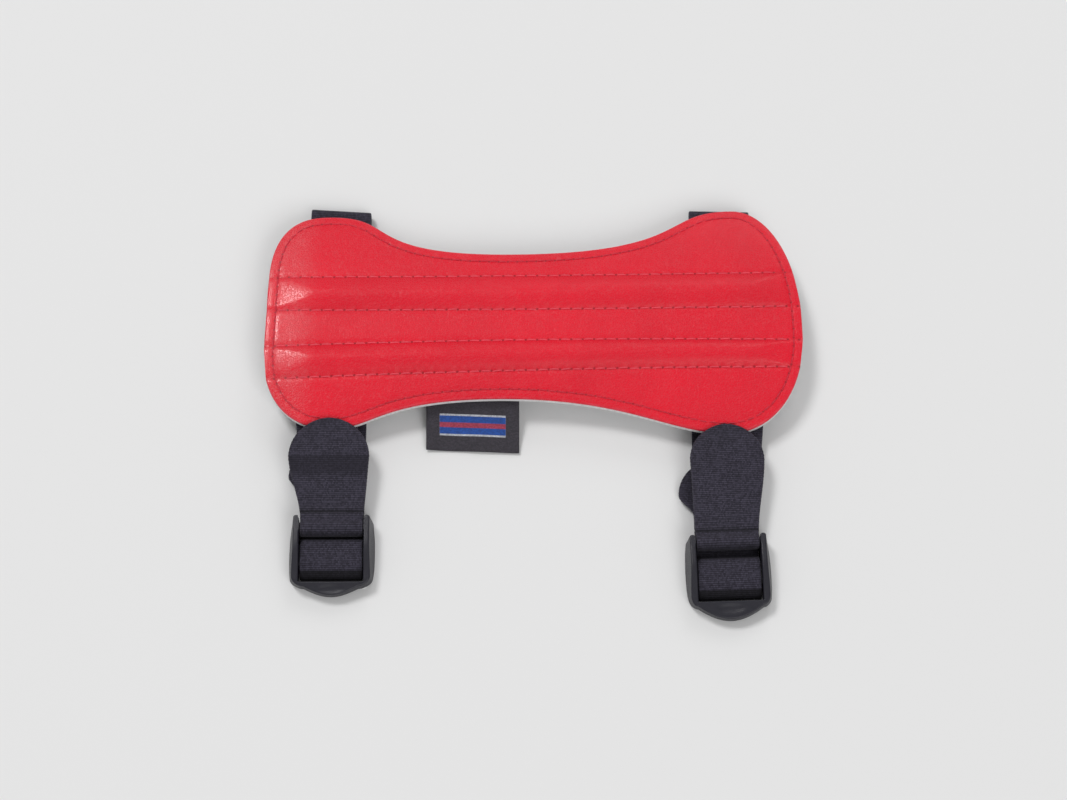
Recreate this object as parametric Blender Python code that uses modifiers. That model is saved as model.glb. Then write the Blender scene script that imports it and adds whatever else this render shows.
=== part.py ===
"""Archery arm guard: a stitched, two-layer panel with two raised ribs, held on by two elastic straps.

Each strap set has a long strap sewn under the panel's far edge, a short tab strap sewn under its
near edge, and a ladder-lock buckle that joins the two. The guard lies face up on a flat surface.
Lengths are in metres, +X runs along the panel, +Y towards its far edge and +Z up.
"""

import math

import bmesh
import bpy
import numpy as np
from mathutils import Matrix, Vector

MM = 0.001

# General
GAP = 0.3 * MM
SAME_PLACE = 0.01 * MM
DOUBLED = 0.1 * MM

# Panel
PANEL_LENGTH = 175.2 * MM
PANEL_WIDTH = 79.8 * MM
PANEL_SAG = 5.0 * MM
FACE_THICKNESS = 1.2 * MM
BACKING_THICKNESS = 1.8 * MM
RIB_HEIGHT = 1.7 * MM
RIB_RUN_OUT = 9.0 * MM
RIB_POWER = 1.2
RIB_SPAN = 0.96
EDGE_SPAN = 0.97
PANEL_COLUMNS = 44
CORNER_POINTS = 60
FLANK_POINTS = 80

# Straps
STRAP_WIDTH = 20.0 * MM
STRAP_THICKNESS = 1.2 * MM
SEWN_IN = 13.0 * MM
LEG_OUT = 3.2 * MM
PAD_NECK = 13.0 * MM
LOOP_SLACK = 1.3 * MM
BAR_LEAN = math.radians(60)
DIP_LEAN = math.radians(42)
ARC_STEP = math.radians(24)
ROUND_END_ANGLES = (10, 24, 38, 52, 66, 80, 90)
SEWN_ROWS = 5
NECK_ROWS = 5
TABLE_RUN_ROWS = 12
BACK_LEG_ROWS = 7
SLACK_ROWS = 10

# Ladder-lock buckle
BUCKLE_RAIL = 2.35 * MM
BUCKLE_DRAFT = 0.2 * MM
BUCKLE_BULGE = 0.7 * MM
BUCKLE_HEEL = 3.2 * MM
BUCKLE_CORNER = 3.4 * MM
BUCKLE_CORNER_DEPTH = 4.4 * MM
BUCKLE_ROWS = 9
BUCKLE_CORNER_ANGLES = (22, 44, 62, 78)
RAIL_RISE = 2.4 * MM
END_HEIGHT = 5.4 * MM
ANCHOR_BAR_RADIUS = 1.1 * MM
CENTRE_BAR_HALF_HEIGHT = 1.35 * MM
CENTRE_BAR_WIDTH = 6.4 * MM
UPPER_SLOT = 8.2 * MM
LOWER_SLOT = 4.6 * MM
END_BAR_WIDTH = 1.5 * MM
BAR_SEGMENTS = 16
BAR_ROUNDING = 0.96
LIP_REACH = 3.2 * MM
LIP_WIDTH = 16.2 * MM
LIP_THICKNESS = 2.8 * MM
LIP_TIP_SHARE = 0.55
LIP_FLAT_SHARE = 0.9
LIP_SIDE_SHARE = 0.6
LIP_ANGLES = (0, 20, 38, 55, 70, 82)
DISH_DEPTH = 0.5 * MM
DISH_HALF_WIDTH = 5.8 * MM
DISH_HALF_REACH = 2.4 * MM
RAIL_EASE = 0.5 * MM

# Label
LABEL_WIDTH = 30.2 * MM
LABEL_THICKNESS = 1.0 * MM
LABEL_DROP = 15.7 * MM
LABEL_SEWN_IN = 4.0 * MM
LABEL_TURN = math.radians(-2.3)
LABEL_PLACE = -0.225
LABEL_FALL_POWER = 1.3

# Outline of the panel, one row for each lobe, as shares of the half length and half width. From
# its end point the outline rounds a corner to the lobe's apex, as a superellipse whose exponent is
# power, and then runs in to the waist as a curve whose handles are reach_out and reach_in.
LOBES = {
    "far_left": {"end_x": -0.992, "end_y": 0.25, "apex_x": -0.765, "apex_y": 0.965, "power": 2.6,
                 "reach_out": 0.25, "reach_in": 0.54, "waist_x": -0.11, "waist_y": 0.590},
    "far_right": {"end_x": 1.0, "end_y": -0.10, "apex_x": 0.755, "apex_y": 1.030, "power": 2.0,
                  "reach_out": 0.28, "reach_in": 0.72, "waist_x": -0.11, "waist_y": 0.590},
    "near_left": {"end_x": -1.0, "end_y": -0.30, "apex_x": -0.745, "apex_y": -0.930, "power": 2.3,
                  "reach_out": 0.16, "reach_in": 0.46, "waist_x": -0.11, "waist_y": -0.690},
    "near_right": {"end_x": 1.0, "end_y": -0.15, "apex_x": 0.715, "apex_y": -0.965, "power": 2.15,
                   "reach_out": 0.22, "reach_in": 0.46, "waist_x": -0.11, "waist_y": -0.690},
}

# Seams that run along the panel, as shares of the half width at its left end, middle and right end.
SEAMS = {
    "far_rib_far": {"left": 0.366, "middle": 0.381, "right": 0.416},
    "far_rib_near": {"left": 0.063, "middle": 0.073, "right": 0.102},
    "near_rib_far": {"left": -0.255, "middle": -0.198, "right": -0.196},
    "near_rib_near": {"left": -0.532, "middle": -0.455, "right": -0.427},
}
RIBS = (("far_rib_far", "far_rib_near"), ("near_rib_far", "near_rib_near"))
FACE_ROWS = {"lobe_rows": 4, "rib_rows": 6, "channel_rows": 2}
BACKING_ROWS = {"lobe_rows": 4, "rib_rows": 2, "channel_rows": 1}

# The two strap sets. Shifts are lengths across the strap and turns are angles seen from above,
# both measured from the set's own centre line, which leaves the buckle at its mouth. The drop is
# from the panel's near edge to the buckle, fold_out from its far edge to the middle of the fold,
# and pad_overlap and tail_clearance from its near edge to the tips of the two round ends.
SETS = {
    "left": {"lobe": "near_left", "far_lobe": "far_left", "shift": 0.95 * MM, "drop": 29.4 * MM,
             "turn": math.radians(0.2), "sewn_shift": -2.9 * MM,
             "pad_radius": 13.0 * MM, "pad_shift": -1.3 * MM, "pad_overlap": 2.95 * MM,
             "tail_radius": 12.1 * MM, "tail_shift": -2.5 * MM, "tail_clearance": 2.6 * MM,
             "fold_shift": 0.4 * MM, "fold_turn": math.radians(-3.6), "fold_out": 2.2 * MM},
    "right": {"lobe": "near_right", "far_lobe": "far_right", "shift": -1.0 * MM, "drop": 34.4 * MM,
              "turn": math.radians(2.0), "sewn_shift": 4.5 * MM,
              "pad_radius": 11.95 * MM, "pad_shift": 1.35 * MM, "pad_overlap": 2.35 * MM,
              "tail_radius": 11.9 * MM, "tail_shift": -2.6 * MM, "tail_clearance": 7.4 * MM,
              "fold_shift": 4.4 * MM, "fold_turn": math.radians(-1.3), "fold_out": -0.25 * MM},
}

# Levels of the layers, worked out from the thicknesses above
STEP_UP = STRAP_THICKNESS + GAP
LOWER_RUN_Z = STRAP_THICKNESS / 2
TAIL_Z = LOWER_RUN_Z + STEP_UP
BACK_LEG_Z = TAIL_Z + STEP_UP
PANEL_EDGE_Z = BACK_LEG_Z + STRAP_THICKNESS / 2 + GAP
FACE_EDGE_Z = PANEL_EDGE_Z + BACKING_THICKNESS + GAP
ANCHOR_BAR_Z = BACK_LEG_Z + STRAP_THICKNESS / 2 + GAP + ANCHOR_BAR_RADIUS
CENTRE_BAR_Z = STEP_UP + CENTRE_BAR_HALF_HEIGHT
RAIL_HEIGHT = ANCHOR_BAR_Z + RAIL_RISE
ANCHOR_WRAP = ANCHOR_BAR_RADIUS + GAP + STRAP_THICKNESS / 2
CENTRE_WRAP = CENTRE_BAR_HALF_HEIGHT + GAP + STRAP_THICKNESS / 2
HALF_LENGTH = PANEL_LENGTH / 2
HALF_WIDTH = PANEL_WIDTH / 2
WINDOW_HALF = STRAP_WIDTH / 2 + GAP
BAR_REACH = WINDOW_HALF + BUCKLE_RAIL / 2

# Places along the buckle, measured from its anchor end; straps leave its line at the mouth
MOUTH_S = -2 * GAP
ANCHOR_BAR_S = ANCHOR_BAR_RADIUS
CENTRE_BAR_START = 2 * ANCHOR_BAR_RADIUS + UPPER_SLOT
CENTRE_BAR_END = CENTRE_BAR_START + CENTRE_BAR_WIDTH
END_BAR_START = CENTRE_BAR_END + LOWER_SLOT
BUCKLE_LENGTH = END_BAR_START + END_BAR_WIDTH

COLOURS = {
    "red_leather": ((0.70, 0.030, 0.045, 1), 0.45),
    "white_backing": ((0.80, 0.80, 0.80, 1), 0.60),
    "black_elastic": ((0.035, 0.034, 0.045, 1), 0.90),
    "black_plastic": ((0.030, 0.030, 0.040, 1), 0.40),
    "black_label": ((0.025, 0.022, 0.030, 1), 0.70),
}


def material(name):
    """The named Principled material, made once."""
    if name in bpy.data.materials:
        return bpy.data.materials[name]
    colour, roughness = COLOURS[name]
    made = bpy.data.materials.new(name)
    made.use_nodes = True
    shader = made.node_tree.nodes["Principled BSDF"]
    shader.inputs["Base Color"].default_value = colour
    shader.inputs["Roughness"].default_value = roughness
    shader.inputs["Metallic"].default_value = 0.0
    made.diffuse_color = colour
    return made


def collection(name):
    """A new collection linked to the scene."""
    made = bpy.data.collections.new(name)
    bpy.context.scene.collection.children.link(made)
    return made


def add_object(name, vertices, faces, home, finish=None, smooth_angle=40):
    """An object made of these vertices and faces, in the collection home."""
    mesh = bpy.data.meshes.new(name)
    mesh.from_pydata([tuple(map(float, v)) for v in vertices], [], faces)
    mesh.update()
    mesh.shade_smooth()
    mesh.set_sharp_from_angle(angle=math.radians(smooth_angle))
    made = bpy.data.objects.new(name, mesh)
    home.objects.link(made)
    if finish:
        mesh.materials.append(material(finish))
    return made


def grid_faces(rows, columns, flip=False):
    """Quads of a grid whose vertices run row by row."""
    quads = []
    for row in range(rows - 1):
        for column in range(columns - 1):
            a = row * columns + column
            quad = (a, a + 1, a + columns + 1, a + columns)
            quads.append(quad[::-1] if flip else quad)
    return quads


def solid_between(low, high):
    """Vertices and faces of the closed solid between two grids of the same shape, low under high."""
    rows, columns = low.shape[:2]
    count = rows * columns
    faces = grid_faces(rows, columns, flip=True)
    faces += [tuple(count + i for i in quad) for quad in grid_faces(rows, columns)]
    ring = [(0, c) for c in range(columns)]
    ring += [(r, columns - 1) for r in range(1, rows)]
    ring += [(rows - 1, c) for c in range(columns - 2, -1, -1)]
    ring += [(r, 0) for r in range(rows - 2, 0, -1)]
    rim = [r * columns + c for r, c in ring]
    for a, b in zip(rim, rim[1:] + rim[:1]):
        faces.append((a, b, count + b, count + a))
    return np.concatenate([low.reshape(-1, 3), high.reshape(-1, 3)]), faces


def smooth_step(t):
    """0 below t = 0, 1 above t = 1 and a smooth rise between."""
    t = np.clip(t, 0, 1)
    return t * t * (3 - 2 * t)


# Panel

def bezier(p0, p1, p2, p3, t):
    """Points of a cubic Bezier curve at the parameters t."""
    t = np.asarray(t)[:, None]
    return (1 - t) ** 3 * p0 + 3 * t * (1 - t) ** 2 * p1 + 3 * t * t * (1 - t) * p2 + t ** 3 * p3


def lobe_edge(name):
    """Points of the outline from the panel's end, over the lobe's apex, to the waist."""
    lobe = LOBES[name]
    side = 1 if lobe["apex_x"] > 0 else -1
    half = np.array([HALF_LENGTH, HALF_WIDTH])
    end = np.array([lobe["end_x"], lobe["end_y"]]) * half
    apex = np.array([lobe["apex_x"], lobe["apex_y"]]) * half
    waist = np.array([lobe["waist_x"], lobe["waist_y"]]) * half
    angle = np.linspace(0, math.pi / 2, CORNER_POINTS)
    corner = np.stack([
        apex[0] + (end[0] - apex[0]) * np.cos(angle) ** (2 / lobe["power"]),
        end[1] + (apex[1] - end[1]) * np.sin(angle) ** (2 / lobe["power"]),
    ], axis=1)
    out = apex - [side * lobe["reach_out"] * HALF_LENGTH, 0]
    back = waist + [side * lobe["reach_in"] * HALF_LENGTH, 0]
    flank = bezier(apex, out, back, waist, np.linspace(0, 1, FLANK_POINTS))
    return np.concatenate([corner, flank[1:]])


def outline():
    """The outline's far and near edges, each from the left end to the right end."""
    far = np.concatenate([lobe_edge("far_left"), lobe_edge("far_right")[::-1][1:]])
    near = np.concatenate([lobe_edge("near_left"), lobe_edge("near_right")[::-1][1:]])
    return far, near


def edge_y(edge, x):
    """Where an edge lies at x, for x between the lobes' apexes."""
    inside = np.abs(edge[:, 0]) <= HALF_LENGTH * EDGE_SPAN
    points = edge[inside]
    order = np.argsort(points[:, 0])
    return float(np.interp(x, points[order, 0], points[order, 1]))


def seam_y(name, x):
    """A lengthwise seam's place at x: a smooth bend through its left end, middle and right end."""
    seam = SEAMS[name]
    t = x / HALF_LENGTH
    bend = (seam["left"] + seam["right"]) / 2 - seam["middle"]
    share = seam["middle"] + t * (seam["right"] - seam["left"]) / 2 + bend * t * t
    return share * HALF_WIDTH


def evenly(points, count):
    """The polyline's points at even steps of its length."""
    steps = np.linalg.norm(np.diff(points, axis=0), axis=1)
    along = np.concatenate([[0], np.cumsum(steps)])
    at = np.linspace(0, along[-1], count)
    return np.stack([np.interp(at, along, points[:, i]) for i in range(2)], axis=1)


def end_line(edges, from_start):
    """The outline's run at one end of the panel, from the near lobe's apex up to the far lobe's."""
    far, near = edges if from_start else (edges[0][::-1], edges[1][::-1])
    up = far[:int(np.argmax(far[:len(far) // 2, 1])) + 1]
    down = near[:int(np.argmin(near[:len(near) // 2, 1])) + 1]
    return np.concatenate([down[::-1], up])


def seam_line(edges, seam, count):
    """A seam from one end of the outline to the other."""
    ends = []
    for from_start, side in ((True, -1), (False, 1)):
        run_up = end_line(edges, from_start)
        level = seam_y(seam, side * HALF_LENGTH)
        ends.append(float(np.interp(level, run_up[:, 1], run_up[:, 0])))
    x = np.linspace(ends[0], ends[1], count)
    return np.stack([x, seam_y(seam, x)], axis=1)


def lobe_strip(edge, seam, rows, edges):
    """Rows from an outer seam out to the edge, rounded with the outline at both ends."""
    inner = seam_line(edges, seam, PANEL_COLUMNS)
    outward = np.sign(edge[len(edge) // 2, 1])
    levels = np.interp(edge[:, 0], inner[:, 0], inner[:, 1])
    beyond = np.flatnonzero(outward * (edge[:, 1] - levels) > SAME_PLACE)
    rim = np.concatenate([inner[:1], edge[beyond[0]:beyond[-1] + 1], inner[-1:]])
    outer = evenly(rim, PANEL_COLUMNS)
    share = np.linspace(0, 1, rows + 1)[1:, None, None]
    ease = smooth_step(np.linspace(0, 1, rows + 1))[1:, None, None]
    straight = inner + (outer - inner) * share
    lifted = straight.copy()
    lifted[:, :, 0] = (inner + (outer - inner) * (share + ease) / 2)[:, :, 0]
    return lifted


def panel_plan(strip_rows):
    """Plan grid of the panel, rows from the near edge to the far edge."""
    edges = outline()
    far, near = edges
    order = ["near_rib_near", "near_rib_far", "far_rib_near", "far_rib_far"]
    lines = [seam_line(edges, seam, PANEL_COLUMNS) for seam in order]
    lobe_rows = strip_rows["lobe_rows"]
    rows = [lobe_strip(near, order[0], lobe_rows, edges)[::-1], lines[0][None]]
    for low, high, strip in zip(lines, lines[1:], ["rib_rows", "channel_rows", "rib_rows"]):
        share = np.linspace(0, 1, strip_rows[strip] + 1)[1:, None, None]
        rows.append(low + (high - low) * share)
    rows.append(lobe_strip(far, order[3], lobe_rows, edges))
    return np.concatenate(rows)


def arch(y):
    """Height of the panel's cylindrical arch above its long edges."""
    return PANEL_SAG * (1 - (y / HALF_WIDTH) ** 2)


def rib_lift(x, y):
    """Height of the two padded ribs: a half wave between each rib's seams, run out at both ends."""
    lift = np.zeros_like(x)
    length_left = HALF_LENGTH * RIB_SPAN - np.abs(x)
    run_out = smooth_step(length_left / RIB_RUN_OUT)
    for far_seam, near_seam in RIBS:
        high, low = seam_y(far_seam, x), seam_y(near_seam, x)
        across = np.clip((y - low) / (high - low), 0, 1)
        lift += RIB_HEIGHT * np.sin(math.pi * across) ** RIB_POWER * run_out
    return lift


def layer(plan, height):
    """The plan grid lifted to the panel's arch at this height of its edge."""
    return np.dstack([plan, height + arch(plan[:, :, 1])])


def make_panel(home):
    """The backing, and the face with its two ribs over it."""
    plan = panel_plan(BACKING_ROWS)
    low = layer(plan, PANEL_EDGE_Z)
    high = layer(plan, PANEL_EDGE_Z + BACKING_THICKNESS)
    vertices, faces = solid_between(low, high)
    add_object("panel_backing", vertices, faces, home, "white_backing")
    plan = panel_plan(FACE_ROWS)
    low = layer(plan, FACE_EDGE_Z)
    high = layer(plan, FACE_EDGE_Z + FACE_THICKNESS)
    high[:, :, 2] += rib_lift(plan[:, :, 0], plan[:, :, 1])
    vertices, faces = solid_between(low, high)
    add_object("panel_face", vertices, faces, home, "red_leather")


# Straps

def arc(centre, radius, start, stop):
    """Points (s, z) of an arc about centre from the angle start to stop, in fixed steps."""
    count = max(2, math.ceil(abs(stop - start) / ARC_STEP) + 1)
    angle = np.linspace(start, stop, count)
    s = centre[0] + radius * np.cos(angle)
    z = centre[1] + radius * np.sin(angle)
    return np.stack([s, z], axis=1)


def run(start, stop, count):
    """Points (s, z) of a straight run, with both ends."""
    return np.linspace(start, stop, count)


def join(*pieces):
    """The pieces of a path one after another, with doubled points taken out."""
    path = np.concatenate([np.atleast_2d(piece) for piece in pieces])
    keep = np.ones(len(path), bool)
    keep[1:] = np.linalg.norm(np.diff(path, axis=0), axis=1) > DOUBLED
    return path[keep]


def pad_half_width(left, radius):
    """Half width of a round-ended strap, left being the distance from its tip."""
    left = np.maximum(left, 0)
    round_end = np.sqrt(np.maximum(radius ** 2 - (radius - np.minimum(left, radius)) ** 2, 0))
    neck = smooth_step((left - radius) / PAD_NECK)
    return round_end + (STRAP_WIDTH / 2 - radius) * neck


def pad_steps(radius):
    """Distances from the tip of a round end that keep its outline even."""
    angle = np.radians(ROUND_END_ANGLES)
    return radius * (1 - np.cos(angle))


class StrapSet:
    """Plan frame of one strap set: its origin is the middle of the buckle's anchor end."""

    def __init__(self, side, edges):
        self.side = side
        self.sizes = SETS[side]
        far, near = edges
        lobe = LOBES[self.sizes["lobe"]]
        self.x = lobe["apex_x"] * HALF_LENGTH + self.sizes["shift"]
        self.near_y = edge_y(near, self.x)
        self.far_y = edge_y(far, LOBES[self.sizes["far_lobe"]]["apex_x"] * HALF_LENGTH)
        self.y = self.near_y - self.sizes["drop"]
        self.turn = self.sizes["turn"]

    def s_of(self, y):
        """Distance down the set's centre line of a place y in the panel's frame."""
        return (self.y - y) / math.cos(self.turn)

    def place(self, across, s, z):
        """World points of local ones."""
        cos, sin = math.cos(self.turn), math.sin(self.turn)
        x = self.x + across * cos + s * sin
        y = self.y + across * sin - s * cos
        return np.stack([x, y, z], axis=-1)

    def drift(self, s, far_s, shift, turn):
        """Shift and turn of a leg, from none at the buckle's mouth to these at far_s."""
        share = smooth_step((s - MOUTH_S) / (far_s - MOUTH_S))
        return shift * share, (turn - self.turn) * share

    def ribbon(self, path, half, shift, turn):
        """Three-column surface of a strap from its side-view path and its half widths."""
        columns = np.array([-1.0, 0.0, 1.0])
        reach = half[:, None] * columns
        across = shift[:, None] + reach * np.cos(turn)[:, None]
        s = path[:, 0][:, None] - reach * np.sin(turn)[:, None]
        z = np.repeat(path[:, 1][:, None], 3, axis=1)
        return self.place(across, s, z)


def strap_object(name, surface, home):
    """A strap of even thickness about this surface."""
    rows, columns = surface.shape[:2]
    points = surface.reshape(-1, 3)
    made = add_object(name, points, grid_faces(rows, columns), home, "black_elastic")
    wall = made.modifiers.new("thickness", "SOLIDIFY")
    wall.thickness = STRAP_THICKNESS
    wall.offset = 0
    wall.use_even_offset = True
    wall.use_rim = True
    return made


def under_panel(y):
    """Height of a strap's middle where it is sewn against the panel's underside."""
    return PANEL_EDGE_Z + arch(y) - GAP - STRAP_THICKNESS / 2


def slack_turn(near_s):
    """The long strap's slack turn from the table up to the top of the centre bar's near rounding."""
    start = np.array([near_s + LOOP_SLACK, LOWER_RUN_Z])
    stop = np.array([near_s, CENTRE_BAR_Z + CENTRE_WRAP])
    reach = 4 / 3 * CENTRE_WRAP
    out = np.array([reach, 0])
    turned_back = stop + out + [LOOP_SLACK / 2, 0]
    return bezier(start, start + out, turned_back, stop, np.linspace(0, 1, SLACK_ROWS))


def long_strap_path(strap):
    """Side view of the long strap: sewn end, fold, run along the table, over the centre bar, tail."""
    sewn_y = strap.far_y - SEWN_IN
    fold_y = strap.far_y + strap.sizes["fold_out"]
    fold_s = strap.s_of(fold_y)
    leave_y = min(strap.far_y, fold_y - STRAP_THICKNESS)
    sewn_ys = np.linspace(sewn_y, leave_y, SEWN_ROWS)
    sewn = np.array([(strap.s_of(y), under_panel(y)) for y in sewn_ys])
    radius = (under_panel(min(strap.far_y, fold_y)) - LOWER_RUN_Z) / 2
    fold = arc((fold_s, LOWER_RUN_Z + radius), radius, math.pi / 2, 3 * math.pi / 2)
    near_s = CENTRE_BAR_END - CENTRE_BAR_HALF_HEIGHT
    far_s = CENTRE_BAR_START + CENTRE_BAR_HALF_HEIGHT
    lower = run((fold_s, LOWER_RUN_Z), (MOUTH_S, LOWER_RUN_Z), TABLE_RUN_ROWS)
    up = slack_turn(near_s)
    down = arc((far_s, CENTRE_BAR_Z), CENTRE_WRAP, math.pi / 2, math.pi / 2 + BAR_LEAN)
    ease = STRAP_THICKNESS + GAP
    left_over = down[-1, 1] - TAIL_Z - ease * (1 - math.cos(BAR_LEAN))
    foot = down[-1] - [left_over / math.tan(BAR_LEAN), left_over]
    centre = (foot[0] - ease * math.sin(BAR_LEAN), TAIL_Z + ease)
    level = arc(centre, ease, -math.pi / 2 + BAR_LEAN, -math.pi / 2)
    body = join(sewn, fold, lower, up, down, level)
    return body, fold_s, strap.s_of(sewn_y)


def make_long_strap(strap, home):
    """The long strap of a set."""
    radius = strap.sizes["tail_radius"]
    body, fold_s, sewn_s = long_strap_path(strap)
    tip_s = strap.s_of(strap.near_y - strap.sizes["tail_clearance"])
    steps = tip_s + pad_steps(radius)
    neck = np.linspace(steps[-1], steps[-1] + PAD_NECK, NECK_ROWS)[1:]
    neck = np.append(neck[neck < MOUTH_S - STRAP_THICKNESS], MOUTH_S)
    tail_s = np.concatenate([neck[::-1], steps[::-1]])
    tail = np.stack([tail_s, np.full(len(tail_s), TAIL_Z)], axis=1)
    path = np.concatenate([body, tail])
    half = np.full(len(path), STRAP_WIDTH / 2)
    half[len(body):] = pad_half_width(tail_s - tip_s, radius)
    on_lower = np.arange(len(path)) < len(body)
    shift = np.zeros(len(path))
    turn = np.zeros(len(path))
    outer = path[:, 0] < 0
    sizes = strap.sizes
    fold_shift, fold_turn = strap.drift(path[:, 0], fold_s, sizes["fold_shift"], sizes["fold_turn"])
    tail_shift, _ = strap.drift(path[:, 0], tip_s + radius, sizes["tail_shift"], strap.turn)
    lower = outer & on_lower
    shift[lower], turn[lower] = fold_shift[lower], fold_turn[lower]
    shift[outer & ~on_lower] = tail_shift[outer & ~on_lower]
    surface = strap.ribbon(path, half, shift, turn)
    sewn = np.arange(len(path)) < SEWN_ROWS
    surface[sewn, :, 2] = under_panel(surface[sewn, :, 1])
    return strap_object(f"long_strap_{strap.side}", surface, home)


def make_tab_strap(strap, home):
    """The short strap of a set, round the anchor bar, with its pad on the panel's near edge."""
    sizes = strap.sizes
    radius = sizes["pad_radius"]
    sewn_y = strap.near_y + SEWN_IN
    sewn_ys = np.linspace(sewn_y, strap.near_y, SEWN_ROWS)
    sewn = np.array([(strap.s_of(y), under_panel(y)) for y in sewn_ys])
    leg_s = strap.s_of(strap.near_y) + LEG_OUT
    outside = run((leg_s, BACK_LEG_Z), (MOUTH_S, BACK_LEG_Z), BACK_LEG_ROWS)
    back = join(outside, (ANCHOR_BAR_S, BACK_LEG_Z))
    centre = (ANCHOR_BAR_S, ANCHOR_BAR_Z)
    wrap = arc(centre, ANCHOR_WRAP, -math.pi / 2, math.pi / 2 + DIP_LEAN)
    dip = wrap[-1] - [ANCHOR_WRAP * math.sin(DIP_LEAN), ANCHOR_WRAP * (1 - math.cos(DIP_LEAN))]
    above = (dip[0], dip[1] + ANCHOR_WRAP)
    level = arc(above, ANCHOR_WRAP, -math.pi / 2 + DIP_LEAN, -math.pi / 2)
    body = join(sewn, back, wrap, level)
    tip_y = strap.near_y + sizes["pad_overlap"]
    tip_s = strap.s_of(tip_y)
    steps = tip_s + pad_steps(radius)
    neck = np.linspace(steps[-1], level[-1, 0] - GAP, NECK_ROWS)[1:-1]
    front_s = np.concatenate([neck[::-1], steps[::-1]])
    front = np.stack([front_s, np.full(len(front_s), level[-1, 1])], axis=1)
    path = np.concatenate([body, front])
    half = np.full(len(path), STRAP_WIDTH / 2)
    half[len(body):] = pad_half_width(front_s - tip_s, radius)
    outer = path[:, 0] < 0
    first = np.arange(len(path)) < len(sewn) + len(back)
    shift, turn = np.zeros(len(path)), np.zeros(len(path))
    back_shift, back_turn = strap.drift(path[:, 0], strap.s_of(sewn_y), sizes["sewn_shift"], 0)
    pad_shift, _ = strap.drift(path[:, 0], tip_s + radius, sizes["pad_shift"], 0)
    shift[outer & first], turn[outer & first] = back_shift[outer & first], back_turn[outer & first]
    shift[outer & ~first] = pad_shift[outer & ~first]
    surface = strap.ribbon(path, half, shift, turn)
    sewn_rows = np.arange(len(path)) < len(sewn)
    surface[sewn_rows, :, 2] = under_panel(surface[sewn_rows, :, 1])
    rows = np.arange(len(path)) >= len(body)
    surface[rows, :, 2] = front_height(strap, surface[rows, :, 1], level[-1])
    return strap_object(f"tab_strap_{strap.side}", surface, home)


def front_height(strap, y, dip):
    """Height of the front leg's middle: it climbs from the dip and lies on the panel's face."""
    lying = FACE_EDGE_Z + FACE_THICKNESS + arch(y) + GAP + STRAP_THICKNESS / 2
    dip_y = strap.y - dip[0]
    edge = strap.near_y - STRAP_THICKNESS
    climb = smooth_step((y - dip_y) / (edge - dip_y))
    at_edge = FACE_EDGE_Z + FACE_THICKNESS + arch(strap.near_y) + GAP + STRAP_THICKNESS / 2
    return np.where(y > edge, lying, dip[1] + (at_edge - dip[1]) * climb)


# Buckle

def buckle_half_width(s, top):
    """Half width of the buckle at s: a barrel with rounded corners at its lip end."""
    belly = math.sin(math.pi * min(s / BUCKLE_LENGTH, 1))
    flare = 0 if top else BUCKLE_DRAFT + BUCKLE_BULGE * belly
    into = np.clip((s - (BUCKLE_LENGTH - BUCKLE_CORNER)) / BUCKLE_CORNER, 0, 1)
    corner = BUCKLE_CORNER_DEPTH * (1 - np.sqrt(1 - into ** 2))
    return WINDOW_HALF + BUCKLE_RAIL + flare - corner


def buckle_top(s):
    """Height of the buckle's top at s: level along the rails, then down to the end bar."""
    fall = smooth_step((s - CENTRE_BAR_START) / (BUCKLE_LENGTH - CENTRE_BAR_START))
    return RAIL_HEIGHT + (END_HEIGHT - RAIL_HEIGHT) * fall


def buckle_foot(s):
    """Height of the buckle's underside at s: flat on the table, then up towards the thumb lip."""
    return BUCKLE_HEEL * smooth_step((s - CENTRE_BAR_END) / (BUCKLE_LENGTH - CENTRE_BAR_END))


def loft(sections):
    """Vertices and faces of a closed solid through sections of equal point count."""
    count = len(sections[0])
    faces = [tuple(range(count))[::-1]]
    for i in range(len(sections) - 1):
        for j in range(count):
            k = (j + 1) % count
            this, after = i * count, (i + 1) * count
            faces.append((this + j, this + k, after + k, after + j))
    last = (len(sections) - 1) * count
    faces.append(tuple(last + j for j in range(count)))
    return np.concatenate(sections), faces


def buckle_sections():
    """Cross-sections of the buckle's body from its anchor end to the end of its corners."""
    straight = BUCKLE_LENGTH - BUCKLE_CORNER
    corner = straight + BUCKLE_CORNER * np.sin(np.radians(BUCKLE_CORNER_ANGLES))
    sections = []
    for s in np.concatenate([np.linspace(0, straight, BUCKLE_ROWS), corner]):
        low = buckle_half_width(s, False)
        high = buckle_half_width(s, True)
        z = buckle_top(s)
        shoulder = high + RAIL_EASE * (low - high) / z
        half = [(low, buckle_foot(s)), (shoulder, z - RAIL_EASE), (high - RAIL_EASE, z)]
        points = [(x, s, h) for x, h in half] + [(-x, s, h) for x, h in half[::-1]]
        sections.append(np.array(points))
    return sections


def lip_sections():
    """Cross-sections of the thumb lip, an arc in plan that thins towards its tip."""
    start = BUCKLE_LENGTH - BUCKLE_CORNER
    middle = END_HEIGHT - LIP_THICKNESS / 2 - RAIL_EASE
    angles = np.radians(LIP_ANGLES)
    sections = []
    places = np.concatenate([[start], BUCKLE_LENGTH + LIP_REACH * np.sin(angles)])
    for s, share in zip(places, np.concatenate([[1.0], np.cos(angles)])):
        half = LIP_WIDTH / 2 * share
        thick = LIP_THICKNESS / 2 * (LIP_TIP_SHARE + (1 - LIP_TIP_SHARE) * share)
        side = thick * LIP_SIDE_SHARE
        flat = half * LIP_FLAT_SHARE
        right = [(flat, -thick), (half, -side), (half, side), (flat, thick)]
        points = right + [(-x, h) for x, h in right[::-1]]
        sections.append(np.array([(x, s, middle + h) for x, h in points]))
    return sections


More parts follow.
